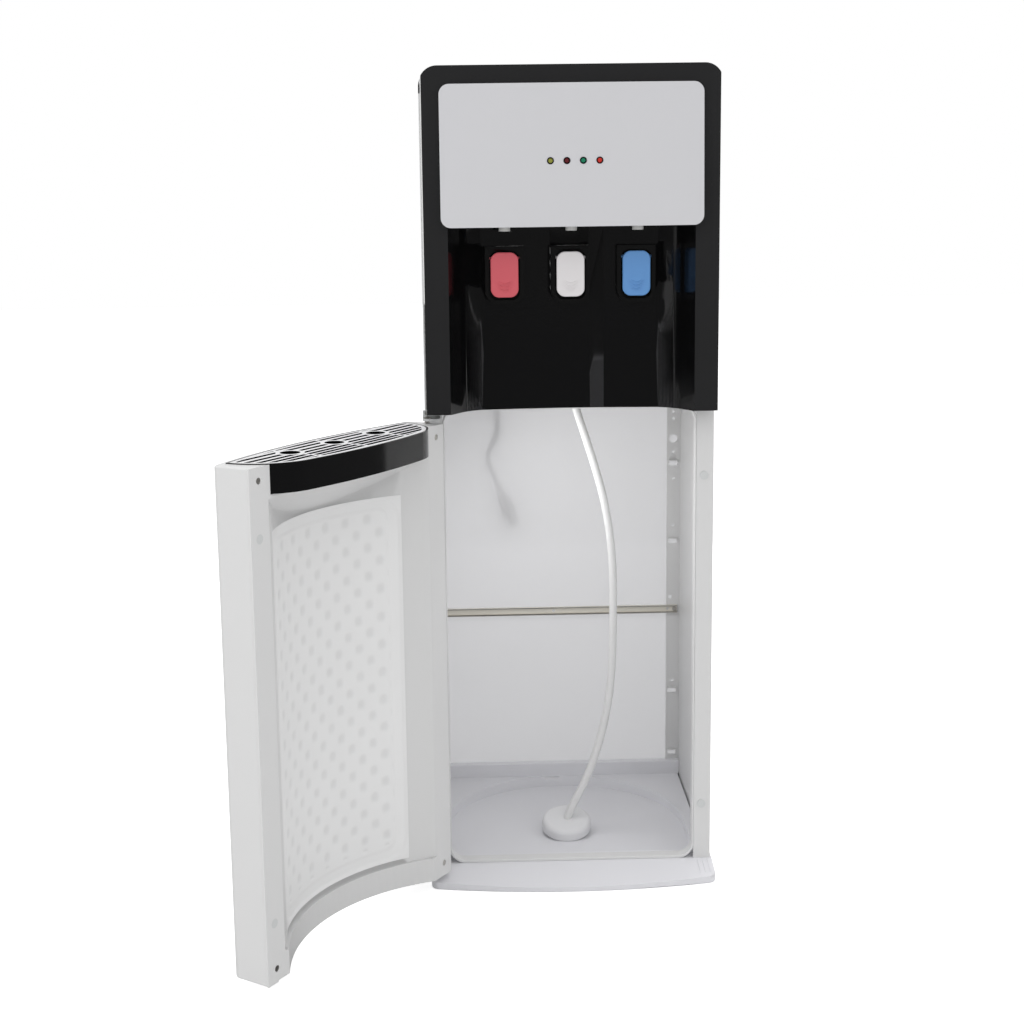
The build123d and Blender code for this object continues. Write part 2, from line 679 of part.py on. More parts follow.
with BuildPart() as door_shell:
    with BuildSketch(door_level(DOOR_LOW)):
        add(door_outline.sketch)
    extrude(amount=DOOR_TOP - DOOR_LOW)
    fillet(edges().filter_by(lambda e: e.length > 300 and e.geom_type == GeomType.CIRCLE), 1.6)
    with BuildSketch(door_level(DOOR_LOW + SKIN)):
        add(door_outline.sketch)
        offset(amount=-SKIN)
        with Locations((0, -8)):
            Rectangle(2 * (DOOR_HALF_W - SKIN), 16)
    extrude(amount=DOOR_TOP - DOOR_LOW - 2 * SKIN, mode=Mode.SUBTRACT)
    # bosses for the hinge pins, and for the screws that hold the liner
    for low, height in ((DOOR_LOW, 16), (DOOR_TOP - 16, 16)):
        with BuildSketch(door_level(low)):
            with Locations((PIN_X, -PIN_DEPTH)):
                Rectangle(10, 10)
        extrude(amount=height)
    with BuildSketch(door_face(LINER + 0.1)):
        for x, z in DOOR_SCREWS:
            with Locations((x * 1.023, z)):
                Rectangle(16, 8)
    extrude(amount=7)
    with BuildSketch(door_face(LINER + 0.1)):
        with Locations(*DOOR_SCREWS):
            Circle(1.5)
    extrude(amount=6, mode=Mode.SUBTRACT)
    for low, height in ((DOOR_LOW - 1, 15), (DOOR_TOP - 14, 20)):
        with BuildSketch(door_level(low)):
            with Locations((PIN_X, -PIN_DEPTH)):
                Circle(PIN_R + FIT)
        extrude(amount=height, mode=Mode.SUBTRACT)
    # arch of the recess through the bottom, and the tray's cut-out in the top
    with BuildSketch(door_level(DOOR_LOW - 1)):
        with Locations((0, RECESS_AXIS)):
            Circle(ARCH_R + LINER + 0.2)
    extrude(amount=SKIN + 2, mode=Mode.SUBTRACT)
    with BuildSketch(door_level(DOOR_TOP - SKIN)):
        add(tray_outline.sketch)
        offset(amount=0.5)
    extrude(amount=SKIN + 1, mode=Mode.SUBTRACT)
save(door_shell, "door_shell")


def bowl(radius, half_w, low, top):
    """Part of a round bar about the recess's axis, between two heights behind the inner face."""
    with BuildPart() as piece:
        with BuildSketch(door_level(low)):
            with Locations((0, RECESS_AXIS)):
                Circle(radius)
            with Locations((0, -40)):
                Rectangle(2 * half_w, 80, mode=Mode.INTERSECT)
        extrude(amount=top - low)
    return piece.part


def recess(radius, low, lift):
    """The recess with its rounded outline and its slanted ceiling, which the lift raises."""
    slope = (CEILING_TOP - RECESS_TOP) / (RECESS_R - RECESS_AXIS)
    side = Plane(origin=(*swing(0, FY - DOOR_GAP), 0), x_dir=(-DOOR_OUT[0], -DOOR_OUT[1], 0), z_dir=DOOR_X)
    with BuildPart() as piece:
        add(bowl(radius, 150, low, CEILING_TOP + lift))
        with BuildSketch(door_face(0)):
            with Locations((0, (low + CEILING_TOP + lift) / 2)):
                RectangleRounded(300, CEILING_TOP + lift - low, 18)
        extrude(amount=80, mode=Mode.INTERSECT)
        with BuildSketch(side):
            Polygon(
                (0, CEILING_TOP + lift),
                (-80, CEILING_TOP + lift - 80 * slope),
                (-80, CEILING_TOP + 20),
                (0, CEILING_TOP + 20),
                align=None,
            )
        extrude(amount=160, both=True, mode=Mode.SUBTRACT)
    return piece.part


with BuildPart() as door_liner:
    with BuildSketch(door_face(0)):
        with Locations((0, (DOOR_LOW + DOOR_TOP) / 2)):
            Rectangle(2 * DOOR_HALF_W, DOOR_TOP - DOOR_LOW)
    extrude(amount=LINER)
    add(bowl(ARCH_R + LINER, 150, DOOR_LOW, RECESS_LOW + 30))
    add(recess(RECESS_R + LINER, RECESS_LOW - LINER, 1.25 * LINER))
    add(bowl(RECESS_R + LINER + POCKET_DEEP, POCKET_HALF_W + LINER, POCKET_LOW - LINER, POCKET_TOP + LINER))
    # shelf that the drip tray stands on
    add(bowl(RECESS_R + LINER, 140, TRAY_SEAT - LINER, TRAY_SEAT))
    add(bowl(ARCH_R, 150, DOOR_LOW - 1, RECESS_LOW + 30), mode=Mode.SUBTRACT)
    add(recess(RECESS_R, RECESS_LOW, 0), mode=Mode.SUBTRACT)
    add(bowl(RECESS_R + POCKET_DEEP, POCKET_HALF_W, POCKET_LOW, POCKET_TOP), mode=Mode.SUBTRACT)
    # notch in the foot of the free edge
    with BuildSketch(door_face(0)):
        with Locations((140, DOOR_LOW)):
            Rectangle(24, 6)
    extrude(amount=LINER, mode=Mode.SUBTRACT)
    with BuildSketch(door_level(TRAY_SEAT)):
        add(tray_outline.sketch)
        offset(amount=0.5)
    extrude(amount=40, mode=Mode.SUBTRACT)
    with BuildSketch(door_face(0)):
        with Locations(*DOOR_SCREWS):
            Circle(3.4)
    extrude(amount=1.4, mode=Mode.SUBTRACT)
    with BuildSketch(door_face(0)):
        with Locations(*DOOR_SCREWS):
            Circle(1.5)
        with Locations(*MAGNETS):
            Circle(5)
    extrude(amount=LINER, mode=Mode.SUBTRACT)
save(door_liner, "door_liner")

with BuildPart() as door_screws:
    with BuildSketch(door_face(0.2)):
        with Locations(*DOOR_SCREWS):
            Circle(3.0)
    extrude(amount=1.2)
    with BuildSketch(door_face(0.2)):
        with Locations(*DOOR_SCREWS):
            Circle(1.5)
    extrude(amount=7)
save(door_screws, "door_screws")

with BuildPart() as door_magnets:
    with BuildSketch(door_face(0.1)):
        with Locations(*MAGNETS):
            Circle(5)
    extrude(amount=LINER)
save(door_magnets, "door_magnets")

with BuildPart() as catch_discs:
    with BuildSketch(upright(FY)):
        with Locations(*[(x, z + 2) for x, z in MAGNETS]):
            Circle(5)
    extrude(amount=0.9)
save(catch_discs, "catch_discs")

# ------------------------------------------------------------------ hinges
with BuildPart() as lower_hinge_pin:
    with Locations((PIN_X, PIN_Y, PIN_SEAT)):
        Cylinder(PIN_R, 21.5, align=(Align.CENTER, Align.CENTER, Align.MIN))
    chamfer(edges().group_by(Axis.Z)[-1], 0.8)
save(lower_hinge_pin, "lower_hinge_pin")

with BuildPart() as upper_hinge_bracket:
    with BuildSketch(Plane.XY.offset(556)):
        with Locations((-158, FY - 13)):
            Rectangle(20, 26)
        fillet(vertices().group_by(Axis.Y)[0], 6)
        with Locations((PIN_X, PIN_Y)):
            Circle(PIN_R, mode=Mode.SUBTRACT)
    extrude(amount=2.5)
    with BuildSketch(upright(FY)):
        with Locations((-158, 560.6)):
            Rectangle(20, 9)
        with Locations((-163, 562), (-153, 562)):
            Circle(1.5, mode=Mode.SUBTRACT)
    extrude(amount=1.5)
save(upper_hinge_bracket, "upper_hinge_bracket")

with BuildPart() as upper_hinge_pin:
    with Locations((PIN_X, PIN_Y, 540.5)):
        Cylinder(PIN_R, 19, align=(Align.CENTER, Align.CENTER, Align.MIN))
    with Locations((PIN_X, PIN_Y, 558.5)):
        Cylinder(4.2, 1.6, align=(Align.CENTER, Align.CENTER, Align.MIN))
    chamfer(edges().group_by(Axis.Z)[0], 0.8)
save(upper_hinge_pin, "upper_hinge_pin")

with BuildPart() as hinge_screws:
    with BuildSketch(upright(FY - 1.5)):
        with Locations((-163, 562), (-153, 562)):
            Circle(2.6)
    extrude(amount=1.3)
    with BuildSketch(upright(FY)):
        with Locations((-163, 562), (-153, 562)):
            Circle(1.5)
    extrude(amount=1.5)
save(hinge_screws, "hinge_screws")

# ------------------------------------------------------------------ drip tray with its grille
GRILLE_LOW = 550.3
GRILLE_TOP = 553.8
GRILLE_ROWS = (-47, -36, -24, -13, -3, 6, 15)
BAR_SLOT = 6.0
RING_R = 15.0
RINGS_AT = [(x, -25) for x in TAPS_X]

with BuildPart() as drip_tray:
    with BuildSketch(door_level(TRAY_LOW)):
        add(tray_outline.sketch)
    extrude(amount=TRAY_RIM - TRAY_LOW)
    with BuildSketch(door_level(TRAY_LOW + SKIN)):
        add(tray_outline.sketch)
        offset(amount=-4)
    extrude(amount=40, mode=Mode.SUBTRACT)
    with BuildSketch(door_level(GRILLE_LOW - 0.3)):
        add(tray_outline.sketch)
        offset(amount=-1.9)
    extrude(amount=10, mode=Mode.SUBTRACT)
save(drip_tray, "drip_tray")

with BuildSketch() as grille_field:
    add(tray_outline.sketch)
    offset(amount=-7)

with BuildSketch() as grille_slots:
    with Locations(*[(0, y) for y in GRILLE_ROWS]):
        Rectangle(330, BAR_SLOT)
    add(grille_field.sketch, mode=Mode.INTERSECT)
    with Locations(*RINGS_AT):
        Rectangle(4, 120, mode=Mode.SUBTRACT)
        Circle(RING_R, mode=Mode.SUBTRACT)
        Circle(RING_R - 4.5)

with BuildPart() as drip_grille:
    with BuildSketch(door_level(GRILLE_LOW)):
        add(tray_outline.sketch)
        offset(amount=-2.2)
    extrude(amount=GRILLE_TOP - GRILLE_LOW)
    with BuildSketch(door_level(GRILLE_LOW - 1)):
        add(grille_slots.sketch)
    extrude(amount=10, mode=Mode.SUBTRACT)
save(drip_grille, "drip_grille")

# ------------------------------------------------------------------ routes of the hose and the cord
def route_radii(points):
    """Fillet radii of a free route: 0.45 of the shorter run over the tangent of half the turn."""
    radii = []
    for before, here, after in zip(points, points[1:], points[2:]):
        run_in = Vector(*here) - Vector(*before)
        run_out = Vector(*after) - Vector(*here)
        half_turn = radians(run_in.get_angle(run_out)) / 2
        radii.append(0.45 * min(run_in.length, run_out.length) / tan(half_turn))
    return radii


def free_tube(name, points, radius):
    """A round tube along straight runs joined by tangent arcs."""
    radii = route_radii(points)
    with BuildPart() as tube:
        with BuildLine() as route:
            FilletPolyline(*points, radius=radii)
        with BuildSketch(Plane(origin=points[0], z_dir=Vector(*points[1]) - Vector(*points[0]))):
            Circle(radius)
        sweep(path=route.wires()[0])
    length = route.wires()[0].length
    fill = tube.part.volume / (pi * radius**2 * length)
    print(f"{name}: length {length:.0f}, volume ratio {fill:.4f}, radii", [round(r) for r in radii])
    save(tube, name)
    return length


# ------------------------------------------------------------------ suction hose, gland and bottle cap
HOSE_R = 4.75
CAP_R = 30.5
CAP_H = 13.5
CAP_LEAN = 15.0           # the hose holds the cap's rear edge off the floor
CAP_AT = (0.0, FY + 96.0, TRAY_FLOOR + 0.1 + CAP_R * sin(radians(CAP_LEAN)))
CAP_PLANE = Plane(
    origin=CAP_AT,
    x_dir=(1, 0, 0),
    z_dir=(0, -sin(radians(CAP_LEAN)), cos(radians(CAP_LEAN))),
)
HOSE_ROUTE = (
    HOSE_EXIT,
    (18.2, FY + 98, 538.7),
    (27.4, FY + 97.6, 511),
    (37.6, FY + 98.3, 478),
    (47.5, FY + 98, 441.5),
    (54.6, FY + 97.5, 402),
    (58.6, FY + 98, 360),
    (59.5, FY + 98.4, 318),
    (59, FY + 98, 276),
    (58.2, FY + 97.7, 234),
    (54.6, FY + 98, 191),
    (46.6, FY + 98, 147),
    (34, FY + 97.6, 104),
    (19.5, FY + 95.6, 71),
    (6, FY + 92.4, 48),
    (0.6, FY + 93.4, 30.6),
)
free_tube("suction_hose", HOSE_ROUTE, HOSE_R)

HOSE_PLANE = Plane(
    origin=HOSE_EXIT,
    x_dir=(0, 1, 0),
    z_dir=Vector(*HOSE_ROUTE[1]) - Vector(*HOSE_EXIT),
)
with BuildPart() as hose_gland:
    with BuildSketch(HOSE_PLANE.offset(-3.2)):
        Circle(8)
    with BuildSketch(HOSE_PLANE.offset(8)):
        Circle(6.4)
    loft()
    with BuildSketch(HOSE_PLANE):
        Circle(HOSE_R + 0.1)
    extrude(amount=20, mode=Mode.SUBTRACT)
    with BuildSketch(HOSE_PLANE.offset(-10)):
        Circle(3.2)
    extrude(amount=20, mode=Mode.SUBTRACT)
    # collar under the deck
    with BuildSketch(Plane.XY.offset(DECK_Z - 2.2)):
        with Locations((HOSE_EXIT[0], HOSE_EXIT[1])):
            Circle(13.5)
            Circle(6.6, mode=Mode.SUBTRACT)
    extrude(amount=2.2)
save(hose_gland, "hose_gland")

with BuildPart() as suction_cap:
    with BuildSketch(CAP_PLANE):
        Circle(CAP_R)
    extrude(amount=CAP_H, taper=2)
    fillet(edges().sort_by(lambda e: CAP_PLANE.to_local_coords(e.center()).Z)[-1], 6)
    with BuildSketch(CAP_PLANE):
        Circle(CAP_R - 2.5)
        Circle(7, mode=Mode.SUBTRACT)
    extrude(amount=CAP_H - 2.5, mode=Mode.SUBTRACT)
    # socket that the hose plugs into
    with BuildSketch(Plane(origin=HOSE_ROUTE[-1], z_dir=Vector(*HOSE_ROUTE[-2]) - Vector(*HOSE_ROUTE[-1]))):
        Circle(HOSE_R + 0.1)
    extrude(amount=12, mode=Mode.SUBTRACT)
save(suction_cap, "suction_cap")

# ------------------------------------------------------------------ power cord
CORD_R = 3.3
COIL_AT = (-40.0, 608.3)  # axis of the coil, across and up
COIL_R = 50.0             # outermost turn, to the cord's centre
COIL_PITCH = 7.3
COIL_TURNS = 6
LAYER_OUT = REAR_COVER_Y + 11.8
LAYER_IN = REAR_COVER_Y + 4.4
END_RUN = 2 * CORD_R      # straight ends of the coil
RELIEF_LOW = 664.0
COIL_X = COIL_AT[0] - COIL_R

with BuildPart() as strain_relief:
    with BuildLine() as elbow:
        FilletPolyline(
            (CORD_X, REAR_COVER_Y - 8, RELIEF_Z),
            (CORD_X, LAYER_OUT, RELIEF_Z),
            (CORD_X, LAYER_OUT, RELIEF_LOW + 10),
            radius=7.5,
        )
    with BuildSketch(Plane(origin=(CORD_X, REAR_COVER_Y - 8, RELIEF_Z), z_dir=(0, 1, 0))):
        Circle(5.4)
    sweep(path=elbow.wires()[0])
    # tapered sleeve with its bending grooves
    with BuildSketch(Plane.XY.offset(RELIEF_LOW)):
        with Locations((CORD_X, LAYER_OUT)):
            Circle(4.3)
    with BuildSketch(Plane.XY.offset(RELIEF_LOW + 12)):
        with Locations((CORD_X, LAYER_OUT)):
            Circle(5.4)
    loft()
    for z in (RELIEF_LOW + 3, RELIEF_LOW + 7, RELIEF_LOW + 11, RELIEF_LOW + 15):
        with BuildSketch(Plane.XY.offset(z)):
            with Locations((CORD_X, LAYER_OUT)):
                Circle(8)
                Circle(3.6, mode=Mode.SUBTRACT)
        extrude(amount=1.5, mode=Mode.SUBTRACT)
    # collar outside the cover and the barbs inside it
    with BuildSketch(upright(REAR_COVER_Y)):
        with Locations((CORD_X, RELIEF_Z)):
            Circle(8.5)
    extrude(amount=-3)
    with BuildSketch(upright(REAR_COVER_Y - REAR_WALL)):
        with Locations((CORD_X, RELIEF_Z)):
            RectangleRounded(14, 12, 2)
    extrude(amount=3)
save(strain_relief, "strain_relief")

with BuildPart() as power_cord_lead:
    with BuildSketch(Plane.XY.offset(COIL_AT[1] + END_RUN)):
        with Locations((COIL_X, LAYER_OUT)):
            Circle(CORD_R)
    extrude(amount=RELIEF_LOW - COIL_AT[1] - END_RUN)
save(power_cord_lead, "power_cord_lead")


def coil_point(turn):
    """Centre of the cord after this many turns: in, one layer towards the cover, and out again."""
    radius = COIL_R - COIL_PITCH * min(turn, COIL_TURNS - turn)
    climb = min(max((turn - COIL_TURNS / 2) * 2 + 0.5, 0), 1)
    depth = LAYER_OUT + (LAYER_IN - LAYER_OUT) * climb**2 * (3 - 2 * climb)
    angle = pi + 2 * pi * turn
    return Vector(COIL_AT[0] + radius * cos(angle), depth, COIL_AT[1] + radius * sin(angle))


def coil_heading(turn):
    """Direction of the cord there; both ends run straight down."""
    if turn in (0, COIL_TURNS):
        return Vector(0, 0, -1)
    return (coil_point(turn + 0.002) - coil_point(turn - 0.002)).normalized()


with BuildPart() as power_cord_coil:
    with BuildLine() as winding:
        Line((COIL_X, LAYER_OUT, COIL_AT[1] + END_RUN), coil_point(0))
        for step in range(4 * COIL_TURNS):
            start, end = coil_point(step / 4), coil_point((step + 1) / 4)
            leaving, arriving = coil_heading(step / 4), coil_heading((step + 1) / 4)
            # two arcs that meet with one tangent where both reach equally far
            chord = end - start
            spread = leaving + arriving
            room = chord.dot(spread)
            slack = 2 - 2 * leaving.dot(arriving)
            reach = (-room + (room**2 + slack * chord.dot(chord)) ** 0.5) / slack
            meeting = (start + leaving * reach + end - arriving * reach) / 2
            TangentArc(start, meeting, tangent=leaving)
            TangentArc(end, meeting, tangent=-arriving)
        Line(coil_point(COIL_TURNS), coil_point(COIL_TURNS) - Vector(0, 0, END_RUN))
    with BuildSketch(Plane(origin=(COIL_X, LAYER_OUT, COIL_AT[1] + END_RUN), z_dir=(0, 0, -1))):
        Circle(CORD_R)
    sweep(path=winding.wires()[0])
coil_length = winding.wires()[0].length
coil_fill = power_cord_coil.part.volume / (pi * CORD_R**2 * coil_length)
print(f"coil: length {coil_length:.0f}, volume ratio {coil_fill:.4f}")
save(power_cord_coil, "power_cord_coil")

# least gap of the coil to itself, between points over a third of a turn apart
samples = [coil_point(COIL_TURNS * i / 720) for i in range(721)]
gap = min((a - b).length for i, a in enumerate(samples) for b in samples[i + 40:]) - 2 * CORD_R
print(f"coil: least gap to itself {gap:.2f}")

CORD_TAIL = (
    (COIL_X, LAYER_IN, COIL_AT[1] - END_RUN),
    (COIL_X, LAYER_IN, 582),
    (-87.5, LAYER_IN - 0.4, 563),
    (-82, FY + 297, 543),
    (-76.5, FY + 288.5, 525),
    (-74.3, FY + 284, 506),
    (-77, FY + 283, 489),
    (-84.6, FY + 286, 475.5),
    (-89, FY + 292, 462),
    (-86.8, FY + 298, 449),
    (-80.6, FY + 300, 435.5),
    (-75.2, FY + 300, 421.5),
)
tail_length = free_tube("power_cord_tail", CORD_TAIL, CORD_R)
print(f"cord in all {tail_length + coil_length + RELIEF_LOW - COIL_AT[1] - END_RUN:.0f}")

PLUG_AIM = (Vector(*CORD_TAIL[-1]) - Vector(*CORD_TAIL[-2])).normalized()
PLUG_PLANE = Plane(origin=CORD_TAIL[-1], x_dir=(0, 1, 0), z_dir=PLUG_AIM)
with BuildPart() as plug:
    for level, across, deep, corner in ((0, 9.6, 9.6, 4.7), (14, 11, 11, 5), (24, 20, 17, 6), (42, 22, 18, 6)):
        with BuildSketch(PLUG_PLANE.offset(level)):
            RectangleRounded(across, deep, corner)
    loft(ruled=True)
    fillet(edges().filter_by(lambda e: abs(PLUG_PLANE.to_local_coords(e.center()).Z - 42) < 0.1), 2)
    for level in (3, 6.5, 10):
        with BuildSketch(PLUG_PLANE.offset(level)):
            Circle(9)
            Circle(3.8, mode=Mode.SUBTRACT)
        extrude(amount=1.4, mode=Mode.SUBTRACT)
save(plug, "plug")

with BuildPart() as plug_blades:
    with BuildSketch(PLUG_PLANE.offset(42)):
        with Locations((-6.35, -2), (6.35, -2)):
            Rectangle(1.5, 6.3)
        with Locations((0, 5)):
            Circle(2.4)
    extrude(amount=17)
save(plug_blades, "plug_blades")

# strap that holds the coil's upper turns to the louvre bars
TIE_LOW = COIL_AT[1] + COIL_R - 3 * COIL_PITCH - CORD_R - 0.3
TIE_TOP = LOUVRE_LOW + 3 * LOUVRE_PITCH + 1.5
TIE_IN = REAR_COVER_Y - 4.6
TIE_OUT = LAYER_OUT + CORD_R + 1.6
with BuildPart() as cord_tie:
    with BuildSketch(Plane.YZ.offset(COIL_AT[0])):
        with Locations(((TIE_IN + TIE_OUT) / 2, (TIE_LOW + TIE_TOP) / 2 - 0.6)):
            RectangleRounded(TIE_OUT - TIE_IN, TIE_TOP - TIE_LOW + 1.2, 4)
            RectangleRounded(TIE_OUT - TIE_IN - 2.4, TIE_TOP - TIE_LOW - 1.2, 2.8, mode=Mode.SUBTRACT)
    extrude(amount=2, both=True)
save(cord_tie, "cord_tie")

# ------------------------------------------------------------------ tanks and cooling behind the front
HOT_AT = (-100.0, FY + 110.0)
COLD_AT = (95.0, FY + 103.0)
with BuildPart() as hot_tank:
    with BuildSketch(Plane.XZ.offset(-HOT_AT[1])):
        with BuildLine():
            Polyline((-100, 582), (-100, 578), (-86, 578), (-86, DECK_TOP), (-82, DECK_TOP), (-82, 580), (-62, 582))
            ThreePointArc((-62, 582), (-53.5, 585.5), (-50, 594))
            Line((-50, 594), (-50, 720))
            ThreePointArc((-50, 720), (-53.5, 728.5), (-62, 732))
            Polyline((-62, 732), (-90, 736), (-90, 748), (-100, 748), (-100, 582))
        make_face()
    revolve(axis=Axis((HOT_AT[0], HOT_AT[1], 0), (0, 0, 1)))
save(hot_tank, "hot_tank")

with BuildPart() as cold_tank_jacket:
    with BuildSketch(Plane.XY.offset(DECK_TOP)):
        with Locations(COLD_AT):
            RectangleRounded(126, 126, 12)
    extrude(amount=190)
    with BuildSketch(Plane.XY.offset(DECK_TOP + 10)):
        with Locations(COLD_AT):
            Circle(56)
    extrude(amount=200, mode=Mode.SUBTRACT)
save(cold_tank_jacket, "cold_tank_jacket")

with BuildPart() as cold_tank:
    with BuildSketch(Plane.XZ.offset(-COLD_AT[1])):
        with BuildLine():
            Polyline((95, DECK_TOP + 10.2), (140, DECK_TOP + 10.2))
            ThreePointArc((140, DECK_TOP + 10.2), (147.5, DECK_TOP + 13.4), (150.7, DECK_TOP + 21))
            Polyline((150.7, DECK_TOP + 21), (150.7, 750), (103, 758), (103, 772), (95, 772), (95, DECK_TOP + 10.2))
        make_face()
    revolve(axis=Axis((COLD_AT[0], COLD_AT[1], 0), (0, 0, 1)))
save(cold_tank, "cold_tank")

FAN_Z = 680.0
SINK_Y = COLD_AT[1] + 63
with BuildPart() as heat_sink:
    with BuildSketch(upright(SINK_Y + 5)):
        with Locations((COLD_AT[0], FAN_Z)):
            Rectangle(100, 110)
    extrude(amount=5)
    with BuildSketch(upright(SINK_Y + 45)):
        with Locations((COLD_AT[0], FAN_Z)):
            with GridLocations(7.5, 1, 13, 1):
                Rectangle(1.6, 110)
    extrude(amount=42)
save(heat_sink, "heat_sink")

FAN_Y = SINK_Y + 45.1
FAN_DEEP = 25.0
with BuildPart() as fan_frame:
    with BuildSketch(upright(FAN_Y + FAN_DEEP)):
        with Locations((COLD_AT[0], FAN_Z)):
            RectangleRounded(92, 92, 5)
            Circle(43.5, mode=Mode.SUBTRACT)
    extrude(amount=FAN_DEEP)
    # motor plate on four arms, with the shaft
    with BuildSketch(upright(FAN_Y + 3)):
        with Locations((COLD_AT[0], FAN_Z)):
            Circle(16)
            for turn in (45, 135):
                Rectangle(90, 5, rotation=turn)
    extrude(amount=3)
    with BuildSketch(upright(FAN_Y + 18)):
        with Locations((COLD_AT[0], FAN_Z)):
            Circle(3)
    extrude(amount=16)
save(fan_frame, "fan_frame")

with BuildPart() as fan_rotor:
    with BuildSketch(upright(FAN_Y + FAN_DEEP - 3)):
        with Locations((COLD_AT[0], FAN_Z)):
            Circle(16)
    extrude(amount=17.5)
    for blade in range(7):
        turn = 2 * pi * blade / 7
        spoke = Plane(
            origin=(COLD_AT[0] + 14 * cos(turn), FAN_Y + FAN_DEEP - 12, FAN_Z + 14 * sin(turn)),
            x_dir=(-sin(turn), 0, cos(turn)),
            z_dir=(cos(turn), 0, sin(turn)),
        )
        with BuildSketch(spoke):
            Rectangle(15, 1.8, rotation=38)
        with BuildSketch(spoke.offset(27.5)):
            Rectangle(22, 1.4, rotation=24)
        loft()
    with BuildSketch(upright(FAN_Y + 19)):
        with Locations((COLD_AT[0], FAN_Z)):
            Circle(3 + FIT)
    extrude(amount=15, mode=Mode.SUBTRACT)
save(fan_rotor, "fan_rotor")

with BuildPart() as pump:
    with BuildSketch(Plane.XY.offset(DECK_TOP + 4)):
        with Locations((HOSE_EXIT[0] - 2, HOSE_EXIT[1])):
            Circle(19)
    extrude(amount=26)
    with BuildSketch(Plane.XY.offset(DECK_TOP + 27)):
        with Locations((HOSE_EXIT[0] - 2, HOSE_EXIT[1])):
            Circle(15)
    extrude(amount=40)
    with Locations(*[(HOSE_EXIT[0] - 2 + x, HOSE_EXIT[1] + y, DECK_TOP) for x in (-12, 12) for y in (-12, 12)]):
        Cylinder(2.5, 6, align=(Align.CENTER, Align.CENTER, Align.MIN))
    # outlet spigot towards the hot tank
    with BuildSketch(Plane.YZ.offset(HOSE_EXIT[0] - 12)):
        with Locations((HOSE_EXIT[1], DECK_TOP + 13)):
            Circle(4)
    extrude(amount=-20)
save(pump, "pump")

with BuildPart() as circuit_board:
    with BuildSketch(upright(REAR_COVER_Y - REAR_WALL - 6)):
        with Locations((-80, 868)):
            Rectangle(100, 70)
    extrude(amount=1.6)
    with BuildSketch(upright(REAR_COVER_Y - REAR_WALL)):
        with Locations((-80, 868)):
            with GridLocations(90, 60, 2, 2):
                Circle(3)
    extrude(amount=6)
    with BuildSketch(upright(REAR_COVER_Y - REAR_WALL - 7.6)):
        with Locations((-105, 880), (-62, 856)):
            Rectangle(28, 24)
    extrude(amount=14)
save(circuit_board, "circuit_board")

# ------------------------------------------------------------------ switches and drain on the back
ROCKER_TILT = 8.0
PIVOT = (REAR_COVER_Y - 0.6, SWITCH_Z)
with BuildPart() as switch_housings:
    for x in SWITCHES_X:
        with BuildSketch(upright(REAR_COVER_Y)):
            with Locations((x, SWITCH_Z)):
                RectangleRounded(17, 25.5, 1.5)
        extrude(amount=-1.4)
        with BuildSketch(upright(REAR_COVER_Y)):
            with Locations((x, SWITCH_Z)):
                Rectangle(13.2, 21.2)
        extrude(amount=14)
        with BuildSketch(upright(REAR_COVER_Y + 2)):
            with Locations((x, SWITCH_Z)):
                Rectangle(10, 18.8)
        extrude(amount=12, mode=Mode.SUBTRACT)
        with BuildSketch(Plane.YZ.offset(x)):
            with Locations(PIVOT):
                Circle(1.2 + FIT)
        extrude(amount=6.1, both=True, mode=Mode.SUBTRACT)
        # terminals
        with BuildSketch(upright(REAR_COVER_Y - 14)):
            with Locations((x, SWITCH_Z - 6), (x, SWITCH_Z + 6)):
                Rectangle(6.3, 0.8)
        extrude(amount=8)
save(switch_housings, "switch_housings")

for name, x in zip(("hot", "cold"), SWITCHES_X):
    with BuildPart() as rocker:
        with BuildSketch(Plane.YZ.offset(x)):
            with Locations(Location((PIVOT[0], PIVOT[1], 0), (0, 0, 1), ROCKER_TILT)):
                Polygon((-4, -5), (-2, -8), (2.8, -8.4), (1.4, 0), (2.8, 8.4), (-2, 8), (-4, 5), align=None)
        extrude(amount=4.6, both=True)
        with BuildSketch(Plane.YZ.offset(x)):
            with Locations(PIVOT):
                Circle(1.2)
        extrude(amount=5.8, both=True)
    save(rocker, f"{name}_switch_rocker")

with BuildPart() as drain_spigot:
    with BuildSketch(upright(REAR_COVER_Y + 9)):
        with Locations((DRAIN_X, DRAIN_Z)):
            Circle(8.2)
            Circle(5, mode=Mode.SUBTRACT)
    extrude(amount=60)
    with BuildSketch(upright(REAR_COVER_Y)):
        with Locations((DRAIN_X, DRAIN_Z)):
            Circle(11.5)
            Circle(8, mode=Mode.SUBTRACT)
    extrude(amount=-2)
    # elbow down to the deck
    with BuildSketch(Plane.XY.offset(DECK_TOP)):
        with Locations((DRAIN_X, REAR_COVER_Y - 45)):
            Circle(7)
    extrude(amount=DRAIN_Z - DECK_TOP)
save(drain_spigot, "drain_spigot")

with BuildPart() as drain_plug:
    with BuildSketch(upright(REAR_COVER_Y + 22)):
        with Locations((DRAIN_X, DRAIN_Z)):
            Circle(11)
            with PolarLocations(11.4, 12):
                Circle(1.5, mode=Mode.SUBTRACT)
    extrude(amount=19)
    with BuildSketch(upright(REAR_COVER_Y + 19)):
        with Locations((DRAIN_X, DRAIN_Z)):
            Circle(8.2 + FIT)
            Circle(5 - FIT, mode=Mode.SUBTRACT)
    extrude(amount=20, mode=Mode.SUBTRACT)
save(drain_plug, "drain_plug")
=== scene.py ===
import json
from math import pi, radians

import bmesh
import bpy
import numpy as np
from mathutils import Matrix, Vector
from mathutils.bvhtree import BVHTree

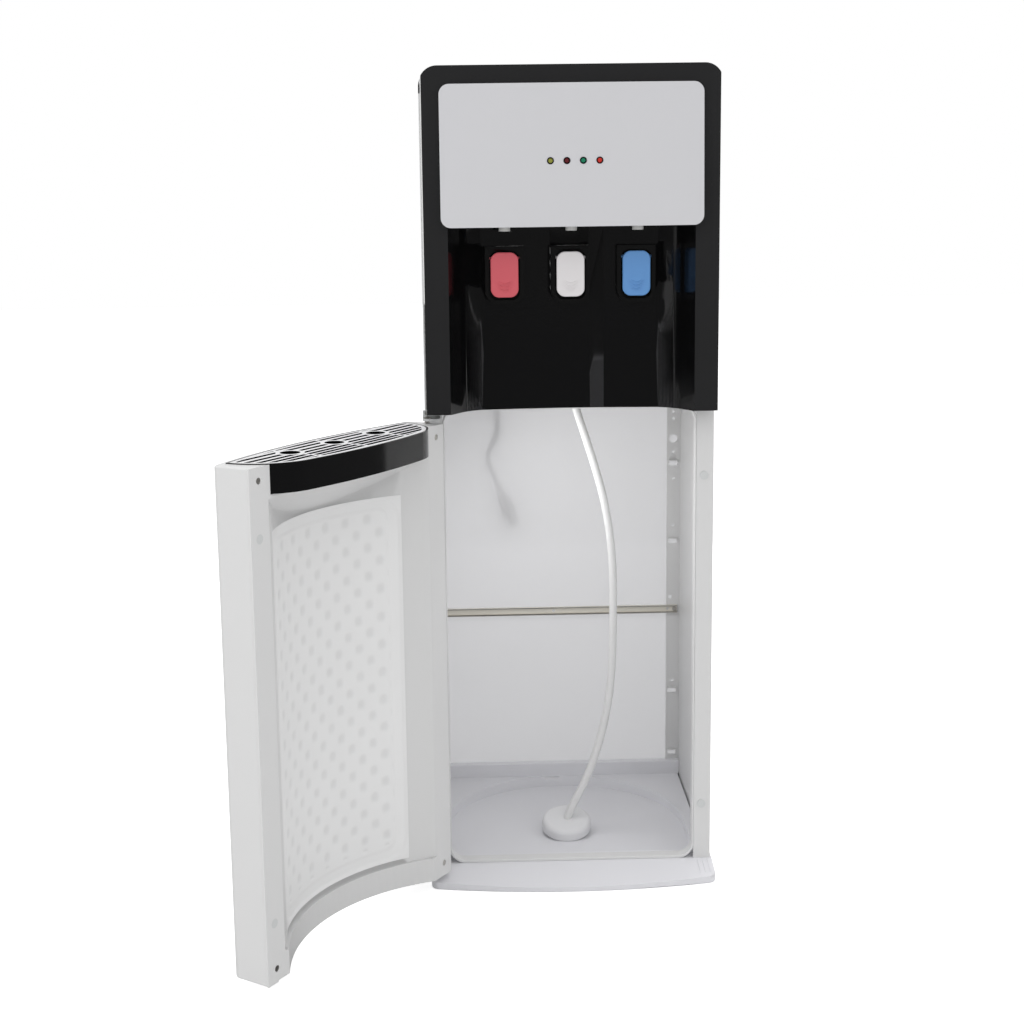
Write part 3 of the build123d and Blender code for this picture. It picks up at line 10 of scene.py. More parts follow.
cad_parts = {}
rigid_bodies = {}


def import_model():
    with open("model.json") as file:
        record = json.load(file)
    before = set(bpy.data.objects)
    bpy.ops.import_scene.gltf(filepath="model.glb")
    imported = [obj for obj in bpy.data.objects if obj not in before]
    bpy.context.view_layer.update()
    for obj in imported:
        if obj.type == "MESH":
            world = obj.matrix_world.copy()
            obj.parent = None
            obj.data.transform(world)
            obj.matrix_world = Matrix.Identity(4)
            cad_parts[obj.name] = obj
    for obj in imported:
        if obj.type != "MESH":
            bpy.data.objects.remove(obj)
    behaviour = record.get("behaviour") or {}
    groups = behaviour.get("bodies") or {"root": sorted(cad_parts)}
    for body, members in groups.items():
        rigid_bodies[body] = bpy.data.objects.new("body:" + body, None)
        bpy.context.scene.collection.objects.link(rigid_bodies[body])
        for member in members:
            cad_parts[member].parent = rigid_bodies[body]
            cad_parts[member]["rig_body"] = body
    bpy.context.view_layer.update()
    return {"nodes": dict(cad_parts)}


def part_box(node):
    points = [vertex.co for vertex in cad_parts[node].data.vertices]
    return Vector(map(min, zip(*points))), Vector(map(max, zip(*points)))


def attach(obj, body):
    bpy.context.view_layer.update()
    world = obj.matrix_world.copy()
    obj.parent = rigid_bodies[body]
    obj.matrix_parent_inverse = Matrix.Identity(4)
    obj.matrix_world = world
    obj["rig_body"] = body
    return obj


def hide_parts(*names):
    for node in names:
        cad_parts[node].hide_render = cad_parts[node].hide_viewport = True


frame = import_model()
nodes = frame["nodes"]

# ---------------------------------------------------------------- camera
# The photograph's view: from the front, a little to the left and above the taps, fitted to
# the corners of the cabinet and of the open door.
CAMERA_AT = (-0.1355, -1.9966, 0.8269)
CAMERA_YAW, CAMERA_PITCH, CAMERA_ROLL = radians(1.438), radians(10.160), radians(0.757)
SENSOR_MM = 36
FOCAL_PIXELS, FRAME_PIXELS = 1662.8, 1024
SHIFT_RIGHT, SHIFT_UP = 18.5, -37.8         # the picture is a crop, its centre off the lens axis


def linked(title, data):
    """A new object for this data, put into the scene."""
    made = bpy.data.objects.new(title, data)
    bpy.context.scene.collection.objects.link(made)
    return made


camera = linked("camera", bpy.data.cameras.new("camera"))
camera.data.sensor_width = SENSOR_MM
camera.data.sensor_fit = "HORIZONTAL"
camera.data.lens = SENSOR_MM * FOCAL_PIXELS / FRAME_PIXELS
camera.data.shift_x, camera.data.shift_y = SHIFT_RIGHT / FRAME_PIXELS, SHIFT_UP / FRAME_PIXELS
camera.matrix_world = (
    Matrix.Translation(CAMERA_AT)
    @ Matrix.Rotation(-CAMERA_YAW, 4, "Z")
    @ Matrix.Rotation(pi / 2 - CAMERA_PITCH, 4, "X")
    @ Matrix.Rotation(-CAMERA_ROLL, 4, "Z")
)
bpy.context.scene.camera = camera
bpy.context.scene.view_settings.view_transform = "Standard"

# ---------------------------------------------------------------- studio
# A white floor that runs out of view, white walls behind the object, and a darker room behind
# the camera with a bright band at eye level, which the gloss black mirrors. Soft boxes stand
# left, right, in front, overhead and behind.
BAND_EDGE, BAND_END = 0.10, 0.28            # height of a direction where the band fades, and is gone
BAND_LIGHT, ROOM_LIGHT = 0.16, 0.06         # strength in the band, and above and below it
ROOM_EDGE, WALL_EDGE = -0.45, 0.25          # depth of a direction: end of the room, start of the walls
WALL_LIGHT = 1.0
MATT_LIGHT = 0.87                           # strength that falls on matt surfaces from every side
FLOOR_HALF = 9
FLOOR_GLOW = 0.64                           # lifts the matt paper to white before the camera
COOLER_AT = (-0.1, -0.1, 0.55)              # middle of the cooler with its door open


def linear(code):
    """Linear colour of an sRGB hex code: each channel is undone with the sRGB curve."""
    channels = [int(code[i:i + 2], 16) / 255 for i in (1, 3, 5)]
    return (*[c / 12.92 if c <= 0.04045 else ((c + 0.055) / 1.055) ** 2.4 for c in channels], 1)


def add_node(tree, kind, inputs=(), **settings):
    """Adds a shader node, with its settings and its inputs: a (node, output) pair is linked."""
    made = tree.nodes.new(kind)
    for name, value in settings.items():
        setattr(made, name, value)
    for name, value in dict(inputs).items():
        if isinstance(value, tuple) and isinstance(value[0], bpy.types.Node):
            tree.links.new(value[0].outputs[value[1]], made.inputs[name])
        else:
            made.inputs[name].default_value = value
    return made


def blank_material(title):
    """A new material with an empty node tree."""
    made = bpy.data.materials.new(title)
    made.use_nodes = True
    made.node_tree.nodes.clear()
    return made


def soft_light(title, place, aim, size, watts):
    """Rectangular light with this width and height, turned to its aim and left out of mirrors."""
    lamp = bpy.data.lights.new(title, "AREA")
    lamp.shape = "RECTANGLE"
    lamp.size, lamp.size_y = size
    lamp.energy = watts
    holder = linked(title, lamp)
    holder.location = place
    holder.rotation_euler = (Vector(aim) - Vector(place)).to_track_quat("-Z", "Y").to_euler()
    holder.visible_glossy = False
    return holder


world = bpy.data.worlds.new("studio")
world.use_nodes = True
room = world.node_tree
room.nodes.clear()
facing = add_node(room, "ShaderNodeTexCoord")
split = add_node(room, "ShaderNodeSeparateXYZ", {"Vector": (facing, "Generated")})
height = add_node(room, "ShaderNodeMath", {0: (split, "Z")}, operation="ABSOLUTE")
band = add_node(
    room, "ShaderNodeMapRange",
    {
        "Value": (height, "Value"), "From Min": BAND_EDGE, "From Max": BAND_END,
        "To Min": BAND_LIGHT, "To Max": ROOM_LIGHT,
    },
    interpolation_type="SMOOTHSTEP",
)
walls = add_node(
    room, "ShaderNodeMapRange",
    {
        "Value": (split, "Y"), "From Min": ROOM_EDGE, "From Max": WALL_EDGE,
        "To Min": (band, "Result"), "To Max": WALL_LIGHT,
    },
    interpolation_type="SMOOTHSTEP",
)
rays = add_node(room, "ShaderNodeLightPath")
matt_rays = add_node(
    room, "ShaderNodeMix", {"Factor": (rays, "Is Diffuse Ray"), "A": (walls, "Result"), "B": MATT_LIGHT},
    data_type="FLOAT",
)
camera_rays = add_node(
    room, "ShaderNodeMix", {"Factor": (rays, "Is Camera Ray"), "A": (matt_rays, "Result"), "B": 1.0},
    data_type="FLOAT",
)
sky = add_node(room, "ShaderNodeBackground", {"Color": (1, 1, 1, 1), "Strength": (camera_rays, "Result")})
add_node(room, "ShaderNodeOutputWorld", {"Surface": (sky, "Background")})
bpy.context.scene.world = world

# matt paper, white to the camera; glossy pieces mirror a darker floor than the camera sees
paper = blank_material("white backdrop paper")
tree = paper.node_tree
matt = add_node(tree, "ShaderNodeBsdfDiffuse", {"Color": linear("#E6E6E6")})
glow = add_node(tree, "ShaderNodeEmission", {"Color": (1, 1, 1, 1), "Strength": FLOOR_GLOW})
lit = add_node(tree, "ShaderNodeAddShader", {0: (matt, "BSDF"), 1: (glow, "Emission")})
unlit = add_node(tree, "ShaderNodeBsdfDiffuse", {"Color": linear("#606060")})
rays = add_node(tree, "ShaderNodeLightPath")
seen = add_node(
    tree, "ShaderNodeMixShader", {"Fac": (rays, "Is Camera Ray"), 1: (matt, "BSDF"), 2: (lit, "Shader")},
)
mirrored = add_node(
    tree, "ShaderNodeMixShader", {"Fac": (rays, "Is Glossy Ray"), 1: (seen, "Shader"), 2: (unlit, "BSDF")},
)
add_node(tree, "ShaderNodeOutputMaterial", {"Surface": (mirrored, "Shader")})

floor_mesh = bpy.data.meshes.new("studio_floor")
floor_mesh.from_pydata(
    [(x * FLOOR_HALF, y * FLOOR_HALF, 0) for x, y in ((-1, -1), (1, -1), (1, 1), (-1, 1))],
    [], [(0, 1, 2, 3)],
)
floor_mesh.materials.append(paper)
floor = linked("studio_floor", floor_mesh)

for title, place, size, watts in (
    ("key_softbox", (-1.9, -1.7, 1.9), (1.0, 1.6), 14),
    ("fill_softbox", (2.0, -1.5, 1.5), (0.7, 1.6), 3),
    ("front_softbox", (0.4, -2.6, 0.8), (1.6, 1.4), 3),
    ("top_softbox", (0.0, -0.4, 2.9), (1.8, 1.4), 6),
    ("back_softbox", (0.0, 1.6, 0.8), (1.6, 1.6), 7),
):
    soft_light(title, place, COOLER_AT, size, watts)

# a small light high in the compartment stands in for the light that its white walls pass on to
# each other, which a few bounces leave too dark
inner = soft_light("compartment_light", (-0.08, -0.05, 0.505), (0.145, 0.0, 0.27), (0.16, 0.09), 0.40)
inner.visible_camera = False

# ---------------------------------------------------------------- base
# The foot is one tray with a bowed front edge and a shallow well in its floor, and a rail that
# closes it at the back. Both are injection-moulded in a cool white ABS.
BROAD_SCALE = 9.0                           # shade and gloss drift over about 110 mm
DULLEST, GLOSSIEST = 1.2, 0.85              # shares of a roughness that this drift reaches
GRAIN_DEPTH = 0.25                          # depth of a relief, as a share of its grain
COLOUR_A, COLOUR_B, COLOUR_OUT = 6, 7, 2    # colour sockets of a Mix node
SAME_POINT = 2e-6                           # corners this near to each other are one
SAME_PLANE = radians(0.4)                   # faces this near to level with each other are one


def plastic(title, colour, roughness, mottle=0.04, grain=0.0006, relief=0.06, **shader):
    """Moulded or coated surface on object coordinates: a broad, faint change of shade and of
    gloss, and a fine relief with this grain in metres. The real grain of a tool is near 0.1 mm,
    and it is drawn several times as coarse, so that it shows."""
    made = blank_material(title)
    tree = made.node_tree
    place = add_node(tree, "ShaderNodeTexCoord")
    broad = add_node(
        tree, "ShaderNodeTexNoise",
        {"Vector": (place, "Object"), "Scale": BROAD_SCALE, "Detail": 3.0, "Roughness": 0.55},
    )
    channels = linear(colour)[:3]
    shade = add_node(
        tree, "ShaderNodeMix",
        {
            "Factor": (broad, "Fac"),
            COLOUR_A: (*[c * (1 - mottle) for c in channels], 1),
            COLOUR_B: (*[min(c * (1 + mottle), 1) for c in channels], 1),
        },
        data_type="RGBA",
    )
    gloss = add_node(
        tree, "ShaderNodeMapRange",
        {"Value": (broad, "Fac"), "To Min": roughness * GLOSSIEST, "To Max": min(roughness * DULLEST, 1)},
    )
    fine = add_node(
        tree, "ShaderNodeTexNoise", {"Vector": (place, "Object"), "Scale": 1 / grain, "Detail": 2.0},
    )
    bump = add_node(
        tree, "ShaderNodeBump",
        {"Height": (fine, "Fac"), "Strength": relief, "Distance": grain * GRAIN_DEPTH},
    )
    surface = add_node(
        tree, "ShaderNodeBsdfPrincipled",
        {
            "Base Color": (shade, COLOUR_OUT), "Roughness": (gloss, "Result"), "Normal": (bump, "Normal"),
            **shader,
        },
    )
    add_node(tree, "ShaderNodeOutputMaterial", {"Surface": (surface, "BSDF")})
    return made


def seamless(node, material, soften=0.0, sharp=28):
    """A copy of a CAD piece with its facets joined into one skin: doubles merged, flat regions
    made whole, shaded smooth up to the edges sharper than this many degrees, and those edges
    rounded to this radius."""
    skin = bmesh.new()
    skin.from_mesh(nodes[node].data)
    bmesh.ops.remove_doubles(skin, verts=skin.verts, dist=SAME_POINT)
    bmesh.ops.dissolve_limit(skin, angle_limit=SAME_PLANE, verts=skin.verts, edges=skin.edges)
    mesh = bpy.data.meshes.new(node + "_skin")
    skin.to_mesh(mesh)
    skin.free()
    mesh.polygons.foreach_set("use_smooth", np.ones(len(mesh.polygons), bool))
    mesh.set_sharp_from_angle(angle=radians(sharp))
    mesh.materials.clear()
    mesh.materials.append(material)
    made = linked(node + "_skin", mesh)
    if soften:
        edge = made.modifiers.new("rounded edges", "BEVEL")
        edge.width = soften
        edge.segments = 2
        edge.limit_method = "ANGLE"
        edge.angle_limit = radians(sharp + 5)
        edge.harden_normals = True
    flat = made.modifiers.new("flat faces stay flat", "WEIGHTED_NORMAL")
    flat.keep_sharp = True
    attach(made, nodes[node]["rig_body"])
    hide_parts(node)
    return made


# satin, with the fine spark grain of its tool
base_abs = plastic("moulded ABS, cool white", "#E0E0E4", 0.34, mottle=0.012, grain=0.0007, relief=0.10)
for piece in ("base_tray", "rear_sill"):
    seamless(piece, base_abs)

# ---------------------------------------------------------------- side panels
# Each side is one folded sheet of cold-rolled steel with punched and lanced rear flanges. The
# white powder coat dries to a satin skin with a faint orange peel.
powder_coat = plastic("powder-coated steel, white", "#D6D6D6", 0.38, mottle=0.012, grain=0.0016, relief=0.12)
for piece in ("left_side_panel", "right_side_panel"):
    seamless(piece, powder_coat)

# ---------------------------------------------------------------- deck and screws
# The deck over the compartment is pressed from zinc-plated sheet, and the cabinet is held by
# plated pan-head screws. Zinc has a dull metal sheen with a fine, uneven bloom.


def finish_node(node, material):
    """Gives a CAD piece its material."""
    for slot in nodes[node].material_slots:
        slot.material = material


zinc = plastic("zinc-plated steel", "#C9C6C0", 0.3, mottle=0.05, grain=0.0008, relief=0.1, Metallic=1.0)
for piece in ("deck_plate", "cabinet_screws"):
    finish_node(piece, zinc)

# ---------------------------------------------------------------- crossbar
# A pressed galvanised strip ties the two sides together in front of the back panel. Its face is bright.
# Along each long edge runs a thin half-round bead of the plated metal, which mirrors the dark room. The bead
# is painted shade for the shadow line that the folded edge casts.
UPPER_SHADE_BEAD_R, LOWER_SHADE_BEAD_R = 0.0007, 0.0011
SHADE_BEAD_INSET, SHADE_BEAD_SUNK = 0.0005, 0.0001        # short of the strip's ends, and let into its face


def mesh_piece(title, points, faces, material):
    """A mesh with these points, faces and material, put into the scene."""
    mesh = bpy.data.meshes.new(title)
    mesh.from_pydata(points.tolist(), [], faces)
    mesh.materials.append(material)
    return linked(title, mesh)


def quads(rows, columns, closed=False):
    """Faces of a grid whose points lie row after row, each facing along its row step crossed
    with its column step. A closed grid's last row joins its first."""
    row, column = np.mgrid[:rows if closed else rows - 1, :columns - 1]
    here, after = row * columns + column, (row + 1) % rows * columns + column
    return np.stack((here, after, after + 1, here + 1), -1).reshape(-1, 4).tolist()


def shade_line_bead(title, height, radius, sides=8):
    """Half-round bead along the crossbar, painted shade for the shadow line at one of its folded edges: a
    half circle of this radius about this height, carried from one end to the other and closed by its chord
    and its two end faces."""
    (left, front, _), (right, _, _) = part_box("crossbar")
    angle = np.linspace(0, np.pi, sides + 1)
    ends = np.array((left + SHADE_BEAD_INSET, right - SHADE_BEAD_INSET))
    points = np.stack((
        np.broadcast_to(ends, (sides + 1, 2)),
        np.broadcast_to((front + SHADE_BEAD_SUNK - radius * np.sin(angle))[:, None], (sides + 1, 2)),
        np.broadcast_to((height + radius * np.cos(angle))[:, None], (sides + 1, 2)),
    ), -1).reshape(-1, 3)
    corners = list(range(len(points)))
    caps = [corners[::2][::-1], corners[1::2]]
    return mesh_piece(title, points, quads(sides + 1, 2, closed=True) + caps, zinc)


# creamy white metal with a soft bloom
zinc_strip = plastic("galvanised steel strip", "#E4E0D6", 0.34, mottle=0.04, grain=0.0012, relief=0.1)
seamless("crossbar", zinc_strip)
bar_low, bar_top = (corner[2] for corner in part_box("crossbar"))
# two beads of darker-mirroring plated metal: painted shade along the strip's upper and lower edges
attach(shade_line_bead("crossbar_upper_shade_line", bar_top - UPPER_SHADE_BEAD_R, UPPER_SHADE_BEAD_R), "cabinet")
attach(shade_line_bead("crossbar_lower_shade_line", bar_low + LOWER_SHADE_BEAD_R, LOWER_SHADE_BEAD_R), "cabinet")

# ---------------------------------------------------------------- opening trim and rear cover
# The trim that lines the door opening and the louvred cover over the cooling are injection-
# moulded ABS, screwed to the cabinet. The white is neutral and satin, with a fine spark grain.
white_abs = plastic("moulded ABS, white", "#D9D9D9", 0.34, mottle=0.012, grain=0.0007, relief=0.10)
for piece in ("opening_trim", "rear_cover"):
    seamless(piece, white_abs)

# ---------------------------------------------------------------- translucent back
# A thin sheet of natural polypropylene closes the compartment's back, held by screws. It
# scatters most of the light that it passes, and the cord shows through the rest.
BACKLIT, SEE_THROUGH = 0.55, 0.24           # shares that pass scattered, and unbroken
milky = blank_material("polypropylene sheet, natural")
tree = milky.node_tree
place = add_node(tree, "ShaderNodeTexCoord")
flow = add_node(tree, "ShaderNodeTexNoise", {"Vector": (place, "Object"), "Scale": 14.0, "Detail": 4.0})
tone = add_node(tree, "ShaderNodeMapRange", {"Value": (flow, "Fac"), "To Min": 0.28, "To Max": 0.36})
front_side = add_node(
    tree, "ShaderNodeBsdfPrincipled", {"Base Color": linear("#DEDEDF"), "Roughness": (tone, "Result")},
)
through = add_node(tree, "ShaderNodeBsdfTranslucent", {"Color": linear("#EAEAEB")})
sheet = add_node(
    tree, "ShaderNodeMixShader", {"Fac": BACKLIT, 1: (front_side, "BSDF"), 2: (through, "BSDF")},
)
clear = add_node(tree, "ShaderNodeBsdfTransparent", {"Color": linear("#F4F4F5")})
veil = add_node(
    tree, "ShaderNodeMixShader", {"Fac": SEE_THROUGH, 1: (sheet, "Shader"), 2: (clear, "BSDF")},
)
add_node(tree, "ShaderNodeOutputMaterial", {"Surface": (veil, "Shader")})
finish_node("back_panel", milky)

# ---------------------------------------------------------------- black front
# The front with its dispensing bay and the top cover are ABS from polished tools, which gives a piano-black
# mirror. The frame round the bay gets a duller copy of the black in a lighter colour. The lighter colour is
# painted light, for the light and reflections that the frame catches and the shaded bay does not.
FRONT = -0.115                              # plane of the cabinet's front flanges
FRAME_DEPTH = 0.040                         # only the outer frame stands this far before them


def second_finish(skin, material, chosen):
    """Gives a second material to the faces of a skin that pass the test."""
    skin.data.materials.append(material)
    for face in skin.data.polygons:
        if chosen(face):
            face.material_index = 1


gloss_black = plastic("moulded ABS, high-gloss black", "#0B0B0C", 0.10, mottle=0.1, grain=0.004, relief=0.02)
lit_frame_black = plastic(
    "moulded ABS, black, frame painted lighter", "#242425", 0.18, mottle=0.08, grain=0.003, relief=0.03,
)
seamless("top_cover", gloss_black)
fascia = seamless("front_fascia", gloss_black)
# the outer frame's front faces take the lighter black: painted light
second_finish(
    fascia, lit_frame_black, lambda face: face.normal.y < -0.9 and face.center.y < FRONT - FRAME_DEPTH,
)

# ---------------------------------------------------------------- control panel
# A light grey moulded ABS hood, bowed and sloping out over the taps. It clips into the black
# front, and its edges are eased by under a millimetre.
panel_abs = plastic("moulded ABS, light grey", "#CACACD", 0.30, mottle=0.012, grain=0.0007, relief=0.10)
seamless("control_panel", panel_abs, soften=0.0009)

# ---------------------------------------------------------------- indicator lamps
# Four cast epoxy lenses, unlit, look out of the panel. Each stands in a small black ABS bezel
# that is pressed into the panel's face.
LAMP_X, LAMP_Z = (-0.0239, -0.0061, 0.0117, 0.0295), 0.8425
FRONT_PROUD, PANEL_PROUD = 0.0463, 0.005    # the black front before the flanges, the panel before it
PANEL_LEAN = 0.00431                        # what the panel's slope adds down at the lamps
PANEL_BOW, PANEL_HALF = 0.004, 0.1433       # its face bows out this much over half its width
BEZEL_INNER, BEZEL_OUTER = 0.00275, 0.0038
BEZEL_PROUD, BEZEL_EASE, BEZEL_SUNK = 0.0007, 0.0003, 0.0006   # above the panel, eased, let into it

# plain black ABS with a dull gloss
housing_black = plastic("moulded ABS, black", "#0A0A0A", 0.22, mottle=0.1, grain=0.001, relief=0.05)


def bezel(x, z, face_y, sides=40):
    """Ring about a lamp: a section of five (radius, depth) corners, turned round its axis."""
    radius, depth = np.array((
        (BEZEL_OUTER, BEZEL_SUNK),
        (BEZEL_OUTER, BEZEL_EASE - BEZEL_PROUD),
        (BEZEL_OUTER - BEZEL_EASE, -BEZEL_PROUD),
        (BEZEL_INNER, -BEZEL_PROUD),
        (BEZEL_INNER, BEZEL_SUNK),
    )).T
    angle = np.linspace(0, 2 * np.pi, sides, endpoint=False)[:, None]
    points = np.stack((
        x + radius * np.cos(angle),
        np.broadcast_to(face_y + depth, (sides, len(depth))),
        z + radius * np.sin(angle),
    ), -1).reshape(-1, 3)
    return mesh_piece("lamp_bezel", points, quads(sides, len(depth), closed=True), housing_black)


for x in LAMP_X:
    panel_y = FRONT - FRONT_PROUD - PANEL_PROUD - PANEL_LEAN - PANEL_BOW * (1 - (x / PANEL_HALF) ** 2)
    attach(bezel(x, LAMP_Z, panel_y), "cabinet")
for lamp, tint in (
    ("power_led", "#8A8B3E"),
    ("heating_led", "#5E2226"),
    ("cooling_led", "#1F7A5A"),
    ("empty_bottle_led", "#C2372E"),
):
    finish_node(lamp, plastic("cast epoxy lens, " + lamp, tint, 0.15, mottle=0.05))

# ---------------------------------------------------------------- taps
# Three spouts of natural polypropylene under the panel, each with a black housing and a push
# paddle in coloured ABS: red for hot, white for room and blue for cold water. Three raised
# arcs near each paddle's foot give the glass a grip.
# each arc's height above the paddle's foot, half width and sag
GRIP_ARCS = ((0.0155, 0.0062, 0.0022), (0.0115, 0.0054, 0.0019), (0.0078, 0.0040, 0.0014))
GRIP_R = 0.0004
RAY_START = 0.05                            # a ray begins this far before the paddle

nozzle_pp = plastic("polypropylene, natural", "#D6D6D4", 0.35, mottle=0.02)
for piece in ("nozzles", "tap_valves"):
    seamless(piece, nozzle_pp)
seamless("paddle_housings", housing_black)


def round_curve(title, points, radius, material):
    """A round bead or cord along one smooth NURBS line through these control points."""
    curve = bpy.data.curves.new(title, "CURVE")
    curve.dimensions = "3D"
    curve.bevel_depth = radius
    curve.bevel_resolution = 5
    curve.resolution_u = 6
    curve.use_fill_caps = True
    line = curve.splines.new("NURBS")
    line.points.add(len(points) - 1)
    line.points.foreach_set("co", np.c_[points, np.ones(len(points))].astype(np.float32).ravel())
    line.order_u = 3
    line.use_endpoint_u = True
    curve.materials.append(material)
    return linked(title, curve)


def grip_arc(node, low, half, sag, material, steps=9):
    """Raised arc across a paddle: a parabola of this half width and sag, this far above the
    paddle's lower edge, laid on its face, where a ray from the front meets it."""
    lowest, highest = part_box(node)
    middle = (lowest[0] + highest[0]) / 2
    mesh = nodes[node].data
    skin = BVHTree.FromPolygons([v.co for v in mesh.vertices], [f.vertices for f in mesh.polygons])
    line = []
    for share in np.linspace(-1, 1, steps):
        x, z = middle + half * share, lowest[2] + low + sag * share ** 2
        place = skin.ray_cast(Vector((x, lowest[1] - RAY_START, z)), Vector((0, 1, 0)))[0]
        line.append((x, place.y, z))
    return round_curve(node + "_grip_arc", np.array(line), GRIP_R, material)


for node, tint in (("hot_paddle", "#D05C66"), ("room_paddle", "#DFDCDD"), ("cold_paddle", "#6094CE")):
    paddle_abs = plastic("moulded ABS, " + node, tint, 0.3, mottle=0.02)
    seamless(node, paddle_abs)
    for low, half, sag in GRIP_ARCS:
        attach(grip_arc(node, low, half, sag, paddle_abs), nodes[node]["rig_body"])

# ---------------------------------------------------------------- tanks, cooling and rear fittings
# Behind the front: a plated hot tank, a cold tank in its white jacket, a heat sink with its fan,
# the pump and the board. On the back: two rocker switches and the drain with its plug. What is
# black here is moulded ABS.
for piece in ("heat_sink", "hot_tank", "cold_tank"):
    finish_node(piece, zinc)
for piece in (
    "fan_frame", "fan_rotor", "pump", "circuit_board", "switch_housings", "hot_switch_rocker",
    "cold_switch_rocker", "drain_spigot", "drain_plug",
):
    seamless(piece, housing_black)
# moulded polypropylene, smooth and slightly waxy
cap_pp = plastic("polypropylene, white", "#DEDEE0", 0.35, mottle=0.02)
seamless("cold_tank_jacket", cap_pp)

# ---------------------------------------------------------------- power cord
# A round three-core lead in black PVC. It leaves the moulded strain relief on the rear cover,
# hangs into a tied coil and ends in the plug behind the translucent back.
REAR = 0.185                                # outer face of the rear cover
CORD_R = 0.0033
COIL_X, COIL_Z = -0.040, 0.6083
COIL_R, COIL_PITCH, COIL_TURNS = 0.050, 0.0073, 6      # outer turn's radius, step from turn to turn
LAYER_OUT, LAYER_IN = REAR + 0.0118, REAR + 0.0044     # depths of the coil's two layers


def coil_route(steps_per_turn=16):
    """Points of the wound coil: a spiral that goes in, changes layer in the half turn where it
    reverses, and comes out again at the same pitch."""
    turn = np.arange(0.5, steps_per_turn * COIL_TURNS) / steps_per_turn
    radius = COIL_R - COIL_PITCH * np.minimum(turn, COIL_TURNS - turn)
    climb = np.clip((turn - COIL_TURNS / 2) * 2 + 0.5, 0, 1)
    layer = LAYER_OUT + (LAYER_IN - LAYER_OUT) * climb ** 2 * (3 - 2 * climb)
    # the control points stand a little outside the turns, so that the spline has their size
    spread = radius / np.cos(np.pi / steps_per_turn) ** 0.5
    angle = np.pi + 2 * np.pi * turn
    return np.stack((COIL_X + spread * np.cos(angle), layer, COIL_Z + spread * np.sin(angle)), 1)


CORD_LEAD = [(-0.090, LAYER_OUT, 0.664), (-0.090, LAYER_OUT, 0.640), (-0.090, LAYER_OUT, 0.6185)]
CORD_TAIL = [
    (-0.090, LAYER_IN, 0.6000),
    (-0.090, LAYER_IN, 0.5820),
    (-0.0875, LAYER_IN - 0.0004, 0.563),
    (-0.082, FRONT + 0.297, 0.543),
    (-0.0765, FRONT + 0.2885, 0.525),
    (-0.0743, FRONT + 0.284, 0.506),
    (-0.077, FRONT + 0.283, 0.489),
    (-0.0846, FRONT + 0.286, 0.4755),
    (-0.089, FRONT + 0.292, 0.462),
    (-0.0868, FRONT + 0.298, 0.449),
    (-0.0806, FRONT + 0.300, 0.4355),
    (-0.0752, FRONT + 0.300, 0.4215),
]
# soft black with a rubbery sheen and a fine drawn grain
cord_pvc = plastic("flexible PVC, black", "#1E1E1F", 0.42, grain=0.0009, relief=0.25)
cord_fittings = [seamless(piece, cord_pvc) for piece in ("strain_relief", "plug", "cord_tie")]
finish_node("plug_blades", zinc)
cord_points = np.array(CORD_LEAD + coil_route().tolist() + CORD_TAIL)
power_cord = round_curve("power_cord", cord_points, CORD_R, cord_pvc)
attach(power_cord, "cabinet")
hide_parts("power_cord_lead", "power_cord_coil", "power_cord_tail")

# ---------------------------------------------------------------- suction hose
# Milky silicone tube that hangs from the gland in the cabinet's ceiling, bows out to the
# right and plugs into the bottle cap.
HOSE_R = 0.00475
HOSE_ROUTE = [
    (0.010, FRONT + 0.098, 0.566),
    (0.0182, FRONT + 0.098, 0.5387),
    (0.0274, FRONT + 0.0976, 0.511),
    (0.0376, FRONT + 0.0983, 0.478),
    (0.0475, FRONT + 0.098, 0.4415),
    (0.0546, FRONT + 0.0975, 0.402),
    (0.0586, FRONT + 0.098, 0.360),
    (0.0595, FRONT + 0.0984, 0.318),
    (0.059, FRONT + 0.098, 0.276),
    (0.0582, FRONT + 0.0977, 0.234),
    (0.0546, FRONT + 0.098, 0.191),
    (0.0466, FRONT + 0.098, 0.147),
    (0.034, FRONT + 0.0976, 0.104),
    (0.0195, FRONT + 0.0956, 0.071),
    (0.006, FRONT + 0.0924, 0.048),
    (0.0006, FRONT + 0.0934, 0.0306),
]
# light sinks a few millimetres into the tube, so that it glows softly at its edges
silicone = plastic(
    "translucent silicone", "#DEDEDE", 0.3, mottle=0.02, grain=0.002, relief=0.1,
    **{"Subsurface Weight": 0.3, "Subsurface Radius": (0.004, 0.004, 0.004), "IOR": 1.41},
)
seamless("hose_gland", cap_pp)
suction_cap = seamless("suction_cap", cap_pp)
suction_hose = round_curve("suction_hose_tube", np.array(HOSE_ROUTE), HOSE_R, silicone)
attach(suction_hose, "cabinet")
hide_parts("suction_hose")

# ---------------------------------------------------------------- door and hinge
# Outer shell and inner liner in the cabinet's white ABS, screwed together at the corners. The
# door hangs on two plated pins, the upper one in a lacquered steel bracket, and two magnets
# hold it shut against steel discs.
for piece in ("door_shell", "door_liner"):
    seamless(piece, white_abs)
for piece in ("door_screws", "hinge_screws", "lower_hinge_pin", "upper_hinge_pin"):
    finish_node(piece, zinc)
# flat light grey with a little bloom
light_steel = plastic("lacquered steel, light grey", "#CCCECE", 0.35, mottle=0.03, grain=0.0008, relief=0.1)
for piece in ("catch_discs", "door_magnets", "upper_hinge_bracket"):
    finish_node(piece, light_steel)

